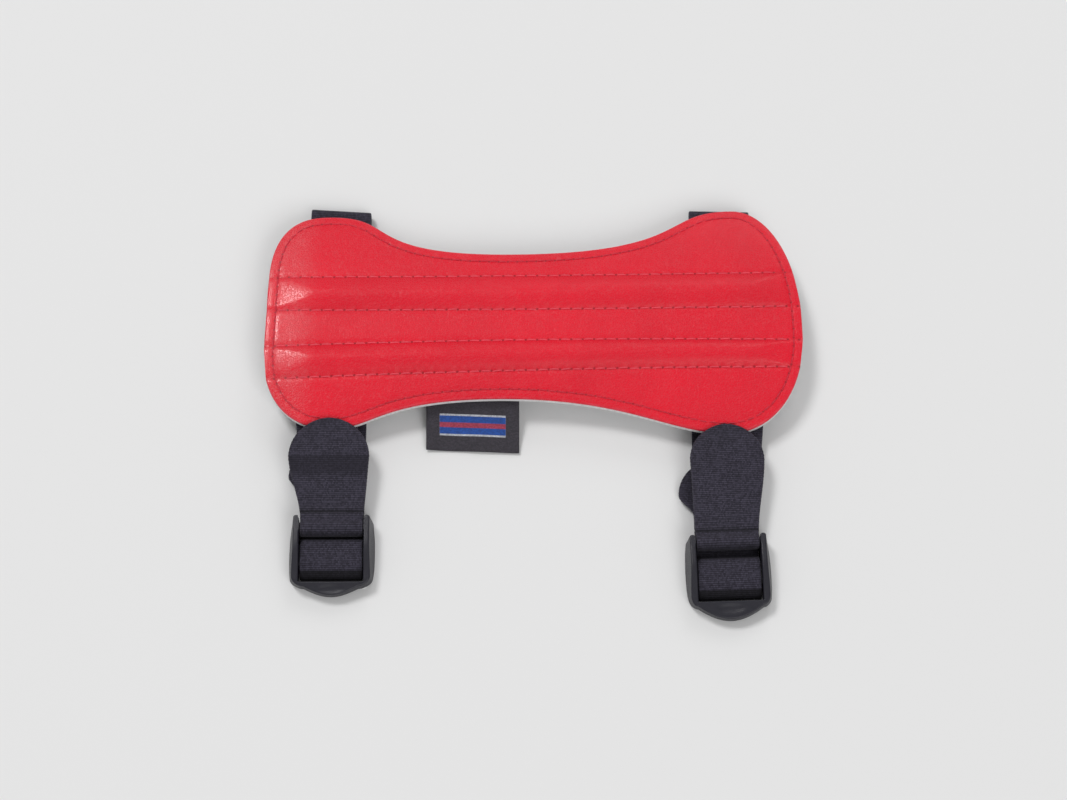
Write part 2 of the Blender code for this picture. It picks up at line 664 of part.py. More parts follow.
def flip_out(made):
    """The object with its faces pointing out, whichever way its sections ran."""
    mesh = made.data
    volume = 0.0
    for face in mesh.polygons:
        corner = [mesh.vertices[i].co for i in face.vertices]
        for a, b in zip(corner[1:], corner[2:]):
            volume += corner[0].dot(a.cross(b))
    if volume < 0:
        mesh.flip_normals()
    return made


def object_from(name, shape, home):
    """An object that holds this bmesh's shape, in the collection home."""
    mesh = bpy.data.meshes.new(name)
    shape.to_mesh(mesh)
    shape.free()
    made = bpy.data.objects.new(name, mesh)
    home.objects.link(made)
    return made


def box_shape(low, high):
    """A box from its lowest to its highest corner."""
    low, high = Vector(low), Vector(high)
    shape = bmesh.new()
    place = Matrix.LocRotScale((low + high) / 2, None, high - low)
    bmesh.ops.create_cube(shape, size=1, matrix=place)
    return shape


def round_bar(name, home):
    """The anchor bar: a round bar across the window."""
    shape = bmesh.new()
    lying = Matrix.Translation((0, ANCHOR_BAR_S, ANCHOR_BAR_Z)) @ Matrix.Rotation(math.pi / 2, 4, "Y")
    bmesh.ops.create_cone(shape, cap_ends=True, segments=BAR_SEGMENTS, radius1=ANCHOR_BAR_RADIUS,
                          radius2=ANCHOR_BAR_RADIUS, depth=2 * BAR_REACH, matrix=lying)
    return object_from(name, shape, home)


def flat_bar(name, home):
    """The centre bar: a flat bar across the window with its long edges rounded."""
    low = (-BAR_REACH, CENTRE_BAR_START, CENTRE_BAR_Z - CENTRE_BAR_HALF_HEIGHT)
    high = (BAR_REACH, CENTRE_BAR_END, CENTRE_BAR_Z + CENTRE_BAR_HALF_HEIGHT)
    shape = box_shape(low, high)
    long_edges = [e for e in shape.edges if abs(e.verts[0].co.x - e.verts[1].co.x) > BAR_REACH]
    bmesh.ops.bevel(shape, geom=long_edges, offset=BAR_ROUNDING * CENTRE_BAR_HALF_HEIGHT,
                    segments=BAR_SEGMENTS // 4, profile=0.5, affect="EDGES")
    return object_from(name, shape, home)


def dish_ball(name, home):
    """The flattened ball that hollows the thumb lip's top."""
    middle = Vector((0, BUCKLE_LENGTH, END_HEIGHT - RAIL_EASE + DISH_DEPTH))
    half = Vector((DISH_HALF_WIDTH, DISH_HALF_REACH, 2 * DISH_DEPTH))
    shape = bmesh.new()
    bmesh.ops.create_uvsphere(shape, u_segments=16, v_segments=8, radius=1,
                              matrix=Matrix.LocRotScale(middle, None, half))
    return object_from(name, shape, home)


def boolean(made, other, operation):
    """Adds a Boolean modifier that uses the other object."""
    step = made.modifiers.new(f"{operation.lower()}_{other.name}", "BOOLEAN")
    step.operation = operation
    step.object = other
    step.solver = "EXACT"


def hide(made):
    """Marks a guide object that isn't part of the model."""
    made.hide_render = True
    made.display_type = "WIRE"
    return made


def buckle_guides(home):
    """The shapes that cut and complete a buckle, shared by both buckles."""
    deep = 5 * RAIL_HEIGHT
    window = box_shape((-WINDOW_HALF, -deep, -deep), (WINDOW_HALF, END_BAR_START, deep))
    scoop = box_shape((-WINDOW_HALF, END_BAR_START - MM, -deep), (WINDOW_HALF, deep, STEP_UP))
    guides = {
        "window": object_from("window", window, home),
        "scoop": object_from("under_end_bar", scoop, home),
        "anchor": round_bar("anchor_bar", home),
        "centre": flat_bar("centre_bar", home),
        "lip": flip_out(add_object("thumb_lip", *loft(lip_sections()), home)),
        "dish": dish_ball("dish", home),
    }
    for guide in guides.values():
        hide(guide)
    return guides


def make_buckle_mesh(home):
    """One evaluated buckle mesh: body less window, with its bars and its dished lip."""
    guides = buckle_guides(home)
    body = flip_out(add_object("buckle_blank", *loft(buckle_sections()), home))
    boolean(body, guides["lip"], "UNION")
    boolean(body, guides["window"], "DIFFERENCE")
    boolean(body, guides["scoop"], "DIFFERENCE")
    boolean(body, guides["anchor"], "UNION")
    boolean(body, guides["centre"], "UNION")
    boolean(body, guides["dish"], "DIFFERENCE")
    hide(body)
    bpy.context.view_layer.update()
    evaluated = body.evaluated_get(bpy.context.evaluated_depsgraph_get())
    return bpy.data.meshes.new_from_object(evaluated)


def make_buckle(strap, mesh, home):
    """A set's buckle, placed on its centre line with its length running towards the near side."""
    made = bpy.data.objects.new(f"buckle_{strap.side}", mesh.copy())
    home.objects.link(made)
    made.data.materials.clear()
    made.data.materials.append(material("black_plastic"))
    made.data.shade_smooth()
    made.data.set_sharp_from_angle(angle=math.radians(35))
    made.location = Vector((strap.x, strap.y, 0))
    made.rotation_euler = (0, 0, math.pi + strap.turn)
    return made


# Label

def make_label(edges, home):
    """The woven tag: sewn under the near edge at the waist and sloping down to the table."""
    x = LABEL_PLACE * HALF_LENGTH
    edge = edge_y(edges[1], x)
    half = LABEL_THICKNESS / 2
    top_y = edge + LABEL_SEWN_IN
    top_z = PANEL_EDGE_Z + arch(top_y) - GAP - half
    edge_z = PANEL_EDGE_Z + arch(edge) - GAP - half
    out = np.linspace(0, 1, 6)[:, None]
    fall = edge_z - half
    reach = math.sqrt(LABEL_DROP ** 2 - fall ** 2)
    y = np.concatenate([[[top_y]], edge - reach * out])
    z = np.concatenate([[[top_z]], half + fall * (1 - out) ** LABEL_FALL_POWER])
    across = np.linspace(-LABEL_WIDTH / 2, LABEL_WIDTH / 2, 5)
    cos, sin = math.cos(LABEL_TURN), math.sin(LABEL_TURN)
    grid = np.dstack([
        x + across * cos + 0 * y,
        y + across * sin,
        z + 0 * across,
    ])
    made = add_object("label", grid.reshape(-1, 3), grid_faces(*grid.shape[:2]), home, "black_label")
    wall = made.modifiers.new("thickness", "SOLIDIFY")
    wall.thickness = LABEL_THICKNESS
    wall.offset = 0
    wall.use_even_offset = True
    return made


def stand_on_origin(parts):
    """Moves the whole guard so that the origin is the middle of its box's underside."""
    bpy.context.view_layer.update()
    graph = bpy.context.evaluated_depsgraph_get()
    corners = []
    for part in parts.objects:
        evaluated = part.evaluated_get(graph)
        corners += [evaluated.matrix_world @ Vector(c) for c in evaluated.bound_box]
    low = Vector([min(c[i] for c in corners) for i in range(3)])
    high = Vector([max(c[i] for c in corners) for i in range(3)])
    root = bpy.data.objects.new("guard_root", None)
    parts.objects.link(root)
    for part in parts.objects:
        if part is not root:
            part.parent = root
    foot = Vector(((low.x + high.x) / 2, (low.y + high.y) / 2, low.z))
    root.matrix_world = Matrix.Translation(-foot)


def main():
    """Builds the arm guard."""
    for old in list(bpy.data.objects):
        bpy.data.objects.remove(old, do_unlink=True)
    parts = collection("arm_guard")
    guides = collection("guides")
    make_panel(parts)
    edges = outline()
    buckle_mesh = make_buckle_mesh(guides)
    for side in SETS:
        strap = StrapSet(side, edges)
        make_long_strap(strap, parts)
        make_tab_strap(strap, parts)
        make_buckle(strap, buckle_mesh, parts)
    make_label(edges, parts)
    stand_on_origin(parts)


main()
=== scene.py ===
"""Looks of an archery arm guard: a stitched red panel on two elastic straps with ladder-lock buckles.

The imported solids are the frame, and every visible surface here is a finer piece that stands where
its solid is. Lengths are in metres, +X runs along the panel, +Y towards its far edge and +Z up.
The panel's own plan has its middle at (0, 0); PanelShape.shift_y carries it to the frame.
"""

from __future__ import annotations

import logging
import math
from dataclasses import dataclass
from enum import Enum

import bmesh
import bpy
import numpy as np
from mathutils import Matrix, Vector

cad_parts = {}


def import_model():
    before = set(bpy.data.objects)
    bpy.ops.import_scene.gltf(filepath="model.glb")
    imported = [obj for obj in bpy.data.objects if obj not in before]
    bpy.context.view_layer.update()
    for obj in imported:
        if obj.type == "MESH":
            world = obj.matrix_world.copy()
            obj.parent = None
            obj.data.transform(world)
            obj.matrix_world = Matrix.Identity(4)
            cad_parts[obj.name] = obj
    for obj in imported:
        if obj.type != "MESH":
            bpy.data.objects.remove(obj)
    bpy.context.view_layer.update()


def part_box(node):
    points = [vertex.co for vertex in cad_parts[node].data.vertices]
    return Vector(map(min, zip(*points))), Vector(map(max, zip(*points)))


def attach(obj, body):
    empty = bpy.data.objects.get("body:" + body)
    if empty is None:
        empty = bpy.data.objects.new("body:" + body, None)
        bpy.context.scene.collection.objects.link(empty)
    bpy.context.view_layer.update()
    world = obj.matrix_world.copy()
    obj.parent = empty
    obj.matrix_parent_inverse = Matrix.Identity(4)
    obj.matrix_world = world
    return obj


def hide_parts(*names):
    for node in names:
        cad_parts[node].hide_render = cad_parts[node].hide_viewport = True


LOG = logging.getLogger("arm_guard")
MM = 0.001

# Length of a stitch on the lengthwise seams and round the edge
SEAM_PITCH = 3.7 * MM
EDGE_PITCH = 3.1 * MM

Array = np.ndarray
Material = bpy.types.Material
Node = bpy.types.Node
Object = bpy.types.Object
Outputs = bpy.types.NodeOutputs
Socket = bpy.types.NodeSocket
Tree = bpy.types.NodeTree
Colour = tuple[float, float, float, float]


class Slot(Enum):
    """The record's material slots."""

    RED_LEATHER = "red_leather"
    WHITE_BACKING = "white_backing"
    BLACK_ELASTIC = "black_elastic"
    BLACK_PLASTIC = "black_plastic"
    BLACK_LABEL = "black_label"


class Side(Enum):
    """The two strap sets, seen from the near side."""

    LEFT = "left"
    RIGHT = "right"


# Shapes


def smooth_step(t: Array | float) -> Array:
    """A smooth rise from 0 at t = 0 to 1 at t = 1: three t squared less two t cubed."""
    t = np.clip(t, 0.0, 1.0)
    return t * t * (3.0 - 2.0 * t)


def bell(away: Array, width: float) -> Array:
    """A bell curve: 1 at no distance, falling to 1/e at the width."""
    return np.exp(-((away / width) ** 2))


def bezier(p0: Array, p1: Array, p2: Array, p3: Array, t: Array) -> Array:
    """Points of a cubic Bezier curve.

    Args:
        p0: Start point.
        p1: First handle.
        p2: Second handle.
        p3: End point.
        t: Parameters from 0 to 1.

    Returns:
        One point for each parameter: the four points weighted by the cubic Bernstein terms.
    """
    t = t[:, None]
    return (1 - t) ** 3 * p0 + 3 * t * (1 - t) ** 2 * p1 + 3 * t * t * (1 - t) * p2 + t**3 * p3


def lengths_along(line: Array) -> Array:
    """Distance of each point from the start of a polyline."""
    return np.concatenate([[0.0], np.cumsum(np.linalg.norm(np.diff(line, axis=0), axis=1))])


def at_lengths(line: Array, at: Array) -> Array:
    """Points of a polyline at these distances from its start."""
    along = lengths_along(line)
    return np.stack([np.interp(at, along, line[:, k]) for k in range(line.shape[1])], axis=1)


def graded(count: int, first: float, growth: float) -> Array:
    """Shares from 0 to 1 whose steps are small at both ends and grow inwards.

    Args:
        count: Number of steps.
        first: Size of the end step as a share of a middle step.
        growth: Ratio of one step to the one before it.

    Returns:
        count + 1 shares: the running sum of the steps over their total.
    """
    ramp = np.minimum(1.0, first * growth ** np.arange(count))
    steps = np.minimum(ramp, ramp[::-1])
    return np.concatenate([[0.0], np.cumsum(steps)]) / steps.sum()


def nearest_on_line(points: Array, line: Array) -> tuple[Array, Array]:
    """Distance from points to a polyline, and where along it the nearest places are.

    Args:
        points: Points, one row each.
        line: The polyline's points.

    Returns:
        The distances, and the lengths from the line's start to the feet of the perpendiculars.
    """
    start, step = line[:-1], np.diff(line, axis=0)
    span = np.linalg.norm(step, axis=1)
    along = lengths_along(line)
    away = np.empty(len(points))
    place = np.empty(len(points))
    for chunk in np.array_split(np.arange(len(points)), max(1, len(points) // 4000)):
        offset = points[chunk, None] - start[None]
        share = np.clip((offset * step).sum(-1) / span**2, 0.0, 1.0)
        distance = np.linalg.norm(offset - share[..., None] * step, axis=-1)
        pick = distance.argmin(axis=1)
        row = np.arange(len(chunk))
        away[chunk] = distance[row, pick]
        place[chunk] = along[pick] + share[row, pick] * span[pick]
    return away, place


def ripple(points: Array, size: float, seed: int) -> Array:
    """Soft unevenness from -1 to 1: the mean of seven plane waves with seeded directions and phases.

    Args:
        points: Points, one row each.
        size: Mean wavelength.
        seed: Seed of the draws.

    Returns:
        One value for each point.
    """
    waves = 7
    draw = np.random.default_rng(seed)
    direction = draw.normal(size=(waves, points.shape[1]))
    direction /= np.linalg.norm(direction, axis=1)[:, None]
    rate = 2 * math.pi / (size * draw.uniform(0.7, 1.4, waves))
    phase = draw.uniform(0, 2 * math.pi, waves)
    return np.sin(points @ direction.T * rate + phase).mean(axis=1)


# Meshes


def grid_quads(rows: int, columns: int, wrap: bool = False, wrap_rows: bool = False) -> Array:
    """Quads of a grid whose points run row by row.

    Args:
        rows: Number of rows.
        columns: Number of columns.
        wrap: Whether the last column joins the first.
        wrap_rows: Whether the last row joins the first.

    Returns:
        Four point numbers for each quad.
    """
    index = np.arange(rows * columns).reshape(rows, columns)
    if wrap:
        index = np.concatenate([index, index[:, :1]], axis=1)
    if wrap_rows:
        index = np.concatenate([index, index[:1]], axis=0)
    corners = [index[:-1, :-1], index[:-1, 1:], index[1:, 1:], index[1:, :-1]]
    return np.stack(corners, axis=-1).reshape(-1, 4)


def slab(low: Array, high: Array) -> tuple[Array, Array]:
    """The closed slab between two grids of the same shape.

    Args:
        low: Underside, rows by columns by 3.
        high: Upper side.

    Returns:
        Points and quads: both grids and a wall round their rim.
    """
    rows, columns = low.shape[:2]
    count = rows * columns
    index = np.arange(count).reshape(rows, columns)
    ring = np.concatenate([index[0, :-1], index[:-1, -1], index[-1, :0:-1], index[:0:-1, 0]])
    after = np.roll(ring, -1)
    wall = np.stack([ring, after, after + count, ring + count], axis=-1)
    quads = grid_quads(rows, columns)
    faces = np.concatenate([quads[:, ::-1], quads + count, wall])
    return np.concatenate([low.reshape(-1, 3), high.reshape(-1, 3)]), faces


def facing_out(points: Array, faces: Array) -> Array:
    """Quads turned so that the closed surface's volume is positive.

    Args:
        points: The surface's points.
        faces: Its quads.

    Returns:
        The quads, all reversed if the sum of the corner tetrahedra is negative.
    """
    a, b, c, d = (points[faces[:, k]] for k in range(4))
    volume = (np.cross(a, b) * c).sum() + (np.cross(a, c) * d).sum()
    return faces[:, ::-1] if volume < 0 else faces


def capped(points: Array, rows: int, columns: int) -> list:
    """Faces of a tube of rings, closed with a cap at each end and turned outwards.

    Args:
        points: The tube's points, ring after ring.
        rows: Number of rings.
        columns: Points of each ring.

    Returns:
        The quads between the rings, then the first cap and the last.
    """
    quads = facing_out(points, grid_quads(rows, columns, wrap=True))
    first = list(range(columns))
    last = list(range((rows - 1) * columns, rows * columns))
    flipped = quads[0, 0] != 0
    caps = [first, last[::-1]] if flipped else [first[::-1], last]
    return quads.tolist() + caps


def new_piece(
    name: str,
    points: Array,
    faces: Array | list,
    finish: Material,
    patterns: dict[str, Array] | None = None,
    crease: float = 50.0,
) -> Object:
    """A mesh object at the origin with its place in its mesh.

    Args:
        name: The piece's name.
        points: Its points.
        faces: Its faces, as point numbers.
        finish: Its material.
        patterns: Named vectors for each point, which its material reads.
        crease: Angle in degrees above which an edge shows.

    Returns:
        The new object.
    """
    mesh = bpy.data.meshes.new(name)
    listed = faces.tolist() if isinstance(faces, np.ndarray) else faces
    mesh.from_pydata(points.tolist(), [], listed)
    for label, values in (patterns or {}).items():
        layer = mesh.attributes.new(label, "FLOAT_VECTOR", "POINT")
        layer.data.foreach_set("vector", values.astype(np.float32).ravel())
    mesh.materials.append(finish)
    made = bpy.data.objects.new(name, mesh)
    bpy.context.scene.collection.objects.link(made)
    merge_doubles(mesh)
    mesh.shade_smooth()
    mesh.set_sharp_from_angle(angle=math.radians(crease))
    return made


def merge_doubles(mesh: bpy.types.Mesh) -> None:
    """Merges points that lie on each other and removes the faces that had no area.

    Args:
        mesh: The mesh to clean.
    """
    shape = bmesh.new()
    shape.from_mesh(mesh)
    bmesh.ops.remove_doubles(shape, verts=shape.verts, dist=0.002 * MM)
    bmesh.ops.dissolve_degenerate(shape, edges=shape.edges, dist=0.001 * MM)
    shape.to_mesh(mesh)
    shape.free()
    mesh.update()


def hand_over(piece: Object, nodes: tuple[str, ...] = ()) -> None:
    """Rides a finished piece on the guard and hides the CAD nodes that it replaces.

    Args:
        piece: The finished piece.
        nodes: CAD nodes that it replaces.
    """
    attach(piece, "root")
    if nodes:
        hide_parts(*nodes)
    LOG.info("%s: %d faces", piece.name, len(piece.data.polygons))


# Shader nodes


class Bench:
    """One node tree, with short calls that add a node and return its output."""

    def __init__(self, tree: Tree) -> None:
        """Works on this tree."""
        self.tree = tree

    def feed(self, socket: Socket, value: object) -> None:
        """Joins a socket to an input, or sets the input to a plain value."""
        if isinstance(value, bpy.types.NodeSocket):
            self.tree.links.new(value, socket)
        else:
            socket.default_value = value

    def node(self, kind: str, inputs: dict | None = None, **settings: object) -> Node:
        """Adds a node.

        Args:
            kind: The node's type.
            inputs: Values or sockets by input name or number.
            **settings: The node's own properties.

        Returns:
            The node.
        """
        made = self.tree.nodes.new(kind)
        for key, value in settings.items():
            setattr(made, key, value)
        self.dress(made, inputs or {})
        return made

    def dress(self, node: Node, inputs: dict) -> None:
        """Feeds a node's inputs by name or number."""
        for key, value in inputs.items():
            self.feed(node.inputs[key], value)

    def math(self, operation: str, *values: object, clamp: bool = False) -> Socket:
        """The result of one math operation on up to three values."""
        made = self.node("ShaderNodeMath", dict(enumerate(values)), operation=operation)
        made.use_clamp = clamp
        return made.outputs[0]

    def times(self, first: object, second: object) -> Socket:
        """One value times another."""
        return self.math("MULTIPLY", first, second)

    def fused(self, first: object, second: object, more: object) -> Socket:
        """One value times another, plus a third."""
        return self.math("MULTIPLY_ADD", first, second, more)

    def humps(self, value: object) -> Socket:
        """A half sine wave over each whole step of a value."""
        return self.math("SINE", self.times(self.math("FRACT", value), math.pi))

    def scale(self, vector: object, factor: object) -> Socket:
        """A vector or a colour times a factor."""
        return self.node("ShaderNodeVectorMath", {0: vector, 3: factor}, operation="SCALE").outputs[0]

    def blend(self, share: object, first: object, second: object) -> Socket:
        """A colour between the first and the second."""
        return self.node("ShaderNodeMix", {0: share, 6: first, 7: second}, data_type="RGBA").outputs[2]

    def fall(self, value: object, start: float, stop: float) -> Socket:
        """A smooth fall from 1 at start to 0 at stop."""
        inputs = {"Value": value, "From Min": start, "From Max": stop, "To Min": 1.0, "To Max": 0.0}
        made = self.node("ShaderNodeMapRange", inputs, interpolation_type="SMOOTHSTEP")
        return made.outputs[0]

    def spread(self, value: object, low: float, high: float) -> Socket:
        """A value from 0 to 1 carried to the range from low to high."""
        inputs = {"Value": value, "To Min": low, "To Max": high}
        return self.node("ShaderNodeMapRange", inputs).outputs[0]

    def split(self, vector: Socket) -> tuple[Socket, Socket, Socket]:
        """The three parts of a vector."""
        outputs = self.node("ShaderNodeSeparateXYZ", {0: vector}).outputs
        return outputs[0], outputs[1], outputs[2]

    def combine(self, *parts: object) -> Socket:
        """A vector from its parts."""
        return self.node("ShaderNodeCombineXYZ", dict(enumerate(parts))).outputs[0]

    def noise(self, vector: Socket, scale: object, detail: float = 2.0, rough: float = 0.5) -> Socket:
        """Cloud noise from 0 to 1."""
        inputs = {"Vector": vector, "Scale": scale, "Detail": detail, "Roughness": rough}
        return self.node("ShaderNodeTexNoise", inputs).outputs[0]

    def places(self) -> Socket:
        """The object's own coordinates, in millimetres."""
        return self.scale(self.node("ShaderNodeTexCoord").outputs["Object"], 1 / MM)

    def pattern(self, name: str) -> Socket:
        """A pattern that the mesh carries at its points."""
        return self.node("ShaderNodeAttribute", attribute_name=name).outputs["Vector"]

    def bump(self, height: Socket, depth: float, below: Socket | None = None) -> Socket:
        """A normal from a height of 0 to 1 that stands for this depth in millimetres."""
        inputs = {"Height": height, "Distance": depth * MM, "Strength": 1.0}
        if below is not None:
            inputs["Normal"] = below
        return self.node("ShaderNodeBump", inputs).outputs[0]

    def group(self, tree: Tree, inputs: dict) -> Outputs:
        """Places a node group and returns its outputs."""
        return self.node("ShaderNodeGroup", inputs, node_tree=tree).outputs


def new_group(
    name: str, inputs: dict[str, float | None], outputs: tuple[str, ...]
) -> tuple[Tree, Bench, Outputs, Node]:
    """An empty shader group.

    Args:
        name: The group's name.
        inputs: Default of each input; None makes a vector input.
        outputs: Names of its value outputs.

    Returns:
        The tree, its bench, the sockets that bring its inputs, and the node that takes its outputs.
    """
    tree = bpy.data.node_groups.new(name, "ShaderNodeTree")
    for label, default in inputs.items():
        kind = "NodeSocketVector" if default is None else "NodeSocketFloat"
        socket = tree.interface.new_socket(label, in_out="INPUT", socket_type=kind)
        if default is not None:
            socket.default_value = default
    for label in outputs:
        tree.interface.new_socket(label, in_out="OUTPUT", socket_type="NodeSocketFloat")
    bench = Bench(tree)
    return tree, bench, bench.node("NodeGroupInput").outputs, bench.node("NodeGroupOutput")


class Effects:
    """Shader groups that several finishes share."""

    def __init__(self) -> None:
        """Builds each group once."""
        self.tone = self.tone_group()
        self.grain = self.grain_group()
        self.weave = self.weave_group()
        self.stitching = self.stitching_group()
        self.wear = self.wear_group()

    def toned(
        self, bench: Bench, where: Socket, patch: float, amount: float, speckle: float = 0.4
    ) -> Socket:
        """Uneven tone at these places: a factor about 1, with patches and speckle of these sizes."""
        inputs = {"Vector": where, "Patch size": patch, "Speckle size": speckle, "Amount": amount}
        return bench.group(self.tone, inputs)["Tone"]

    @staticmethod
    def tone_group() -> Tree:
        """Uneven tone: large soft patches with fine speckle, as a factor about 1."""
        inputs = {"Vector": None, "Patch size": 20.0, "Speckle size": 0.4, "Amount": 0.1}
        tree, bench, given, result = new_group("uneven tone", inputs, ("Tone",))
        patches = bench.noise(given["Vector"], bench.math("DIVIDE", 1.0, given["Patch size"]), 3.0)
        speckle = bench.noise(given["Vector"], bench.math("DIVIDE", 1.0, given["Speckle size"]), 2.0)
        both = bench.math("ADD", patches, speckle)
        about = bench.math("SUBTRACT", both, 1.0)
        bench.feed(result.inputs["Tone"], bench.fused(about, given["Amount"], 1.0))
        return tree

    @staticmethod
    def grain_group() -> Tree:
        """Pebble grain: rounded cells with creases between them, and finer pores."""
        inputs = {"Vector": None, "Cell size": 0.6, "Pores": 0.3}
        tree, bench, given, result = new_group("pebble grain", inputs, ("Height", "Crease"))
        rate = bench.math("DIVIDE", 1.0, given["Cell size"])
        inputs = {"Vector": given["Vector"], "Scale": rate, "Detail": 2.0}
        sway = bench.node("ShaderNodeTexNoise", inputs)
        steps = {0: given["Vector"], 1: bench.scale(sway.outputs["Color"], 0.45)}
        moved = bench.node("ShaderNodeVectorMath", steps, operation="ADD").outputs[0]
        inputs = {"Vector": moved, "Scale": rate, "Randomness": 1.0}
        cells = bench.node("ShaderNodeTexVoronoi", inputs, feature="DISTANCE_TO_EDGE")
        crease = bench.fall(cells.outputs["Distance"], 0.0, 0.16)
        pores = bench.noise(given["Vector"], bench.times(rate, 3.2), 2.0)
        deep = bench.times(pores, given["Pores"])
        high = bench.math("SUBTRACT", 1.0, crease)
        bench.dress(result, {"Height": bench.math("SUBTRACT", high, deep), "Crease": crease})
        return tree

    @staticmethod
    def weave_group() -> Tree:
        """Ribbed weave: rows of raised beads, each row set half a bead aside. Its Light output is a
        painted highlight on the beads' crests, with a random brightness for each bead.

        The vector is across and along the cloth in millimetres.
        """
        inputs = {"Vector": None, "Rib pitch": 0.6, "Bead pitch": 0.8, "Uneven": 0.5}
        tree, bench, given, result = new_group("ribbed weave", inputs, ("Height", "Light"))
        across, along, _ = bench.split(given["Vector"])
        sway = bench.noise(given["Vector"], 0.35, 2.0)
        drift = bench.fused(bench.math("SUBTRACT", sway, 0.5), 0.18, along)
        row_at = bench.math("DIVIDE", drift, given["Rib pitch"])
        row = bench.math("FLOOR", row_at)
        odd = bench.times(bench.math("MODULO", row, 2.0), 0.5)
        bead_at = bench.math("ADD", bench.math("DIVIDE", across, given["Bead pitch"]), odd)
        bead = bench.math("FLOOR", bead_at)
        rib = bench.humps(row_at)
        round_bead = bench.humps(bead_at)
        height = bench.times(rib, bench.fused(round_bead, 0.45, 0.55))
        chance = bench.node("ShaderNodeTexWhiteNoise", {"Vector": bench.combine(bead, row, 0.0)})
        uneven = bench.times(bench.math("SUBTRACT", chance.outputs["Value"], 0.5), given["Uneven"])
        # Painted highlight: Light follows the bead's height, plus a random tone for each bead
        light = bench.math("MULTIPLY_ADD", height, 0.75, uneven, clamp=True)
        bench.dress(result, {"Height": height, "Light": light})
        return tree

    @staticmethod
    def stitching_group() -> Tree:
        """Needle holes and the groove of a seam.

        The line's first part runs along the seam and its second is the distance from it, both in
        millimetres.
        """
        inputs = {"Line": None, "Pitch": 3.5, "Hole": 0.44, "Groove": 0.8}
        tree, bench, given, result = new_group("stitching", inputs, ("Hole", "Groove"))
        along, away, _ = bench.split(given["Line"])
        turn = bench.math("FRACT", bench.math("ADD", bench.math("DIVIDE", along, given["Pitch"]), 0.5))
        near = bench.times(bench.math("SUBTRACT", turn, 0.5), given["Pitch"])
        across = bench.times(away, 1.15)
        squares = bench.math("ADD", bench.math("POWER", near, 2.0), bench.math("POWER", across, 2.0))
        reach = bench.math("DIVIDE", bench.math("SQRT", squares), given["Hole"])
        share = bench.math("DIVIDE", away, given["Groove"])
        outputs = {"Hole": bench.fall(reach, 0.55, 1.35), "Groove": bench.fall(share, 0.0, 1.0)}
        bench.dress(result, outputs)
        return tree

    @staticmethod
    def wear_group() -> Tree:
        """Wear along an edge, broken up by noise: full at the edge and gone at the width."""
        inputs = {"Vector": None, "From edge": 1.0, "Width": 0.6, "Breaks": 1.5}
        tree, bench, given, result = new_group("edge wear", inputs, ("Wear",))
        share = bench.math("DIVIDE", given["From edge"], given["Width"])
        rate = bench.math("DIVIDE", 1.0, given["Breaks"])
        breaks = bench.noise(given["Vector"], rate, 4.0, 0.6)
        wear = bench.times(bench.fall(share, 0.0, 1.0), bench.fall(breaks, 0.65, 0.35))
        bench.feed(result.inputs["Wear"], wear)
        return tree


def new_finish(name: str) -> tuple[Material, Bench, Node]:
    """A material, its bench and its Principled shader."""
    made = bpy.data.materials.new(name)
    made.use_nodes = True
    return made, Bench(made.node_tree), made.node_tree.nodes["Principled BSDF"]


@dataclass(frozen=True)
class LeatherFinish:
    """Red grained leatherette with needle holes, in millimetres. It is glossier left of glossy_x."""

    red: Colour = (0.77, 0.007, 0.026, 1.0)
    pale: Colour = (0.82, 0.075, 0.115, 1.0)
    hole: Colour = (0.40, 0.006, 0.016, 1.0)
    roughness: float = 0.26
    gloss: float = 0.35
    end_gloss: float = 0.80
    glossy_x: tuple[float, float] = (-79.0, -69.0)
    cell: float = 0.66
    worn_share: float = 0.55
    # Painted shade: how far the grain's creases and the stitch grooves are darkened towards the hole
    # colour
    crease_painted_shade: float = 0.16
    groove_painted_shade: float = 0.12
    crease_roughness: float = 0.14
    hole_roughness: float = 0.3
    grain_depth: float = 0.034
    hole_depth: float = 0.05

    def build(self, effects: Effects) -> Material:
        """Builds the material.

        Args:
            effects: The shared groups.

        Returns:
            The material.
        """
        made, bench, shader = new_finish("red_leather_grained")
        where = bench.places()
        tone = effects.toned(bench, where, patch=26.0, amount=0.26, speckle=0.45)
        grain = bench.group(effects.grain, {"Vector": where, "Cell size": self.cell, "Pores": 0.35})
        seam = bench.group(effects.stitching, {"Line": bench.pattern("seam"), "Pitch": SEAM_PITCH / MM})
        edge = {"Line": bench.pattern("rim"), "Pitch": EDGE_PITCH / MM, "Groove": 0.7}
        rim = bench.group(effects.stitching, edge)
        _, _, from_edge = bench.split(bench.pattern("rim"))
        wear = bench.group(
            effects.wear, {"Vector": where, "From edge": from_edge, "Width": 0.9, "Breaks": 2.2}
        )
        hole = bench.math("MAXIMUM", seam["Hole"], rim["Hole"])
        groove = bench.math("MAXIMUM", seam["Groove"], rim["Groove"])
        toned = bench.scale(self.red[:3], tone)
        worn = bench.blend(bench.times(wear["Wear"], self.worn_share), toned, self.pale)
        # Painted shade: the grain's creases and the grooves of the stitching are darkened towards the
        # hole colour
        creased = bench.blend(bench.times(grain["Crease"], self.crease_painted_shade), worn, self.hole)
        grooved = bench.blend(bench.times(groove, self.groove_painted_shade), creased, self.hole)
        rough = bench.fused(grain["Crease"], self.crease_roughness, self.roughness)
        along, _, _ = bench.split(where)
        glossy = bench.fall(along, *self.glossy_x)
        fine = bench.bump(grain["Height"], self.grain_depth)
        inputs = {
            "Base Color": bench.blend(hole, grooved, self.hole),
            "Roughness": bench.fused(hole, self.hole_roughness, rough),
            "Specular IOR Level": bench.spread(glossy, self.gloss, self.end_gloss),
            "Normal": bench.bump(bench.times(hole, -1.0), self.hole_depth, fine),
        }
        bench.dress(shader, inputs)
        return made


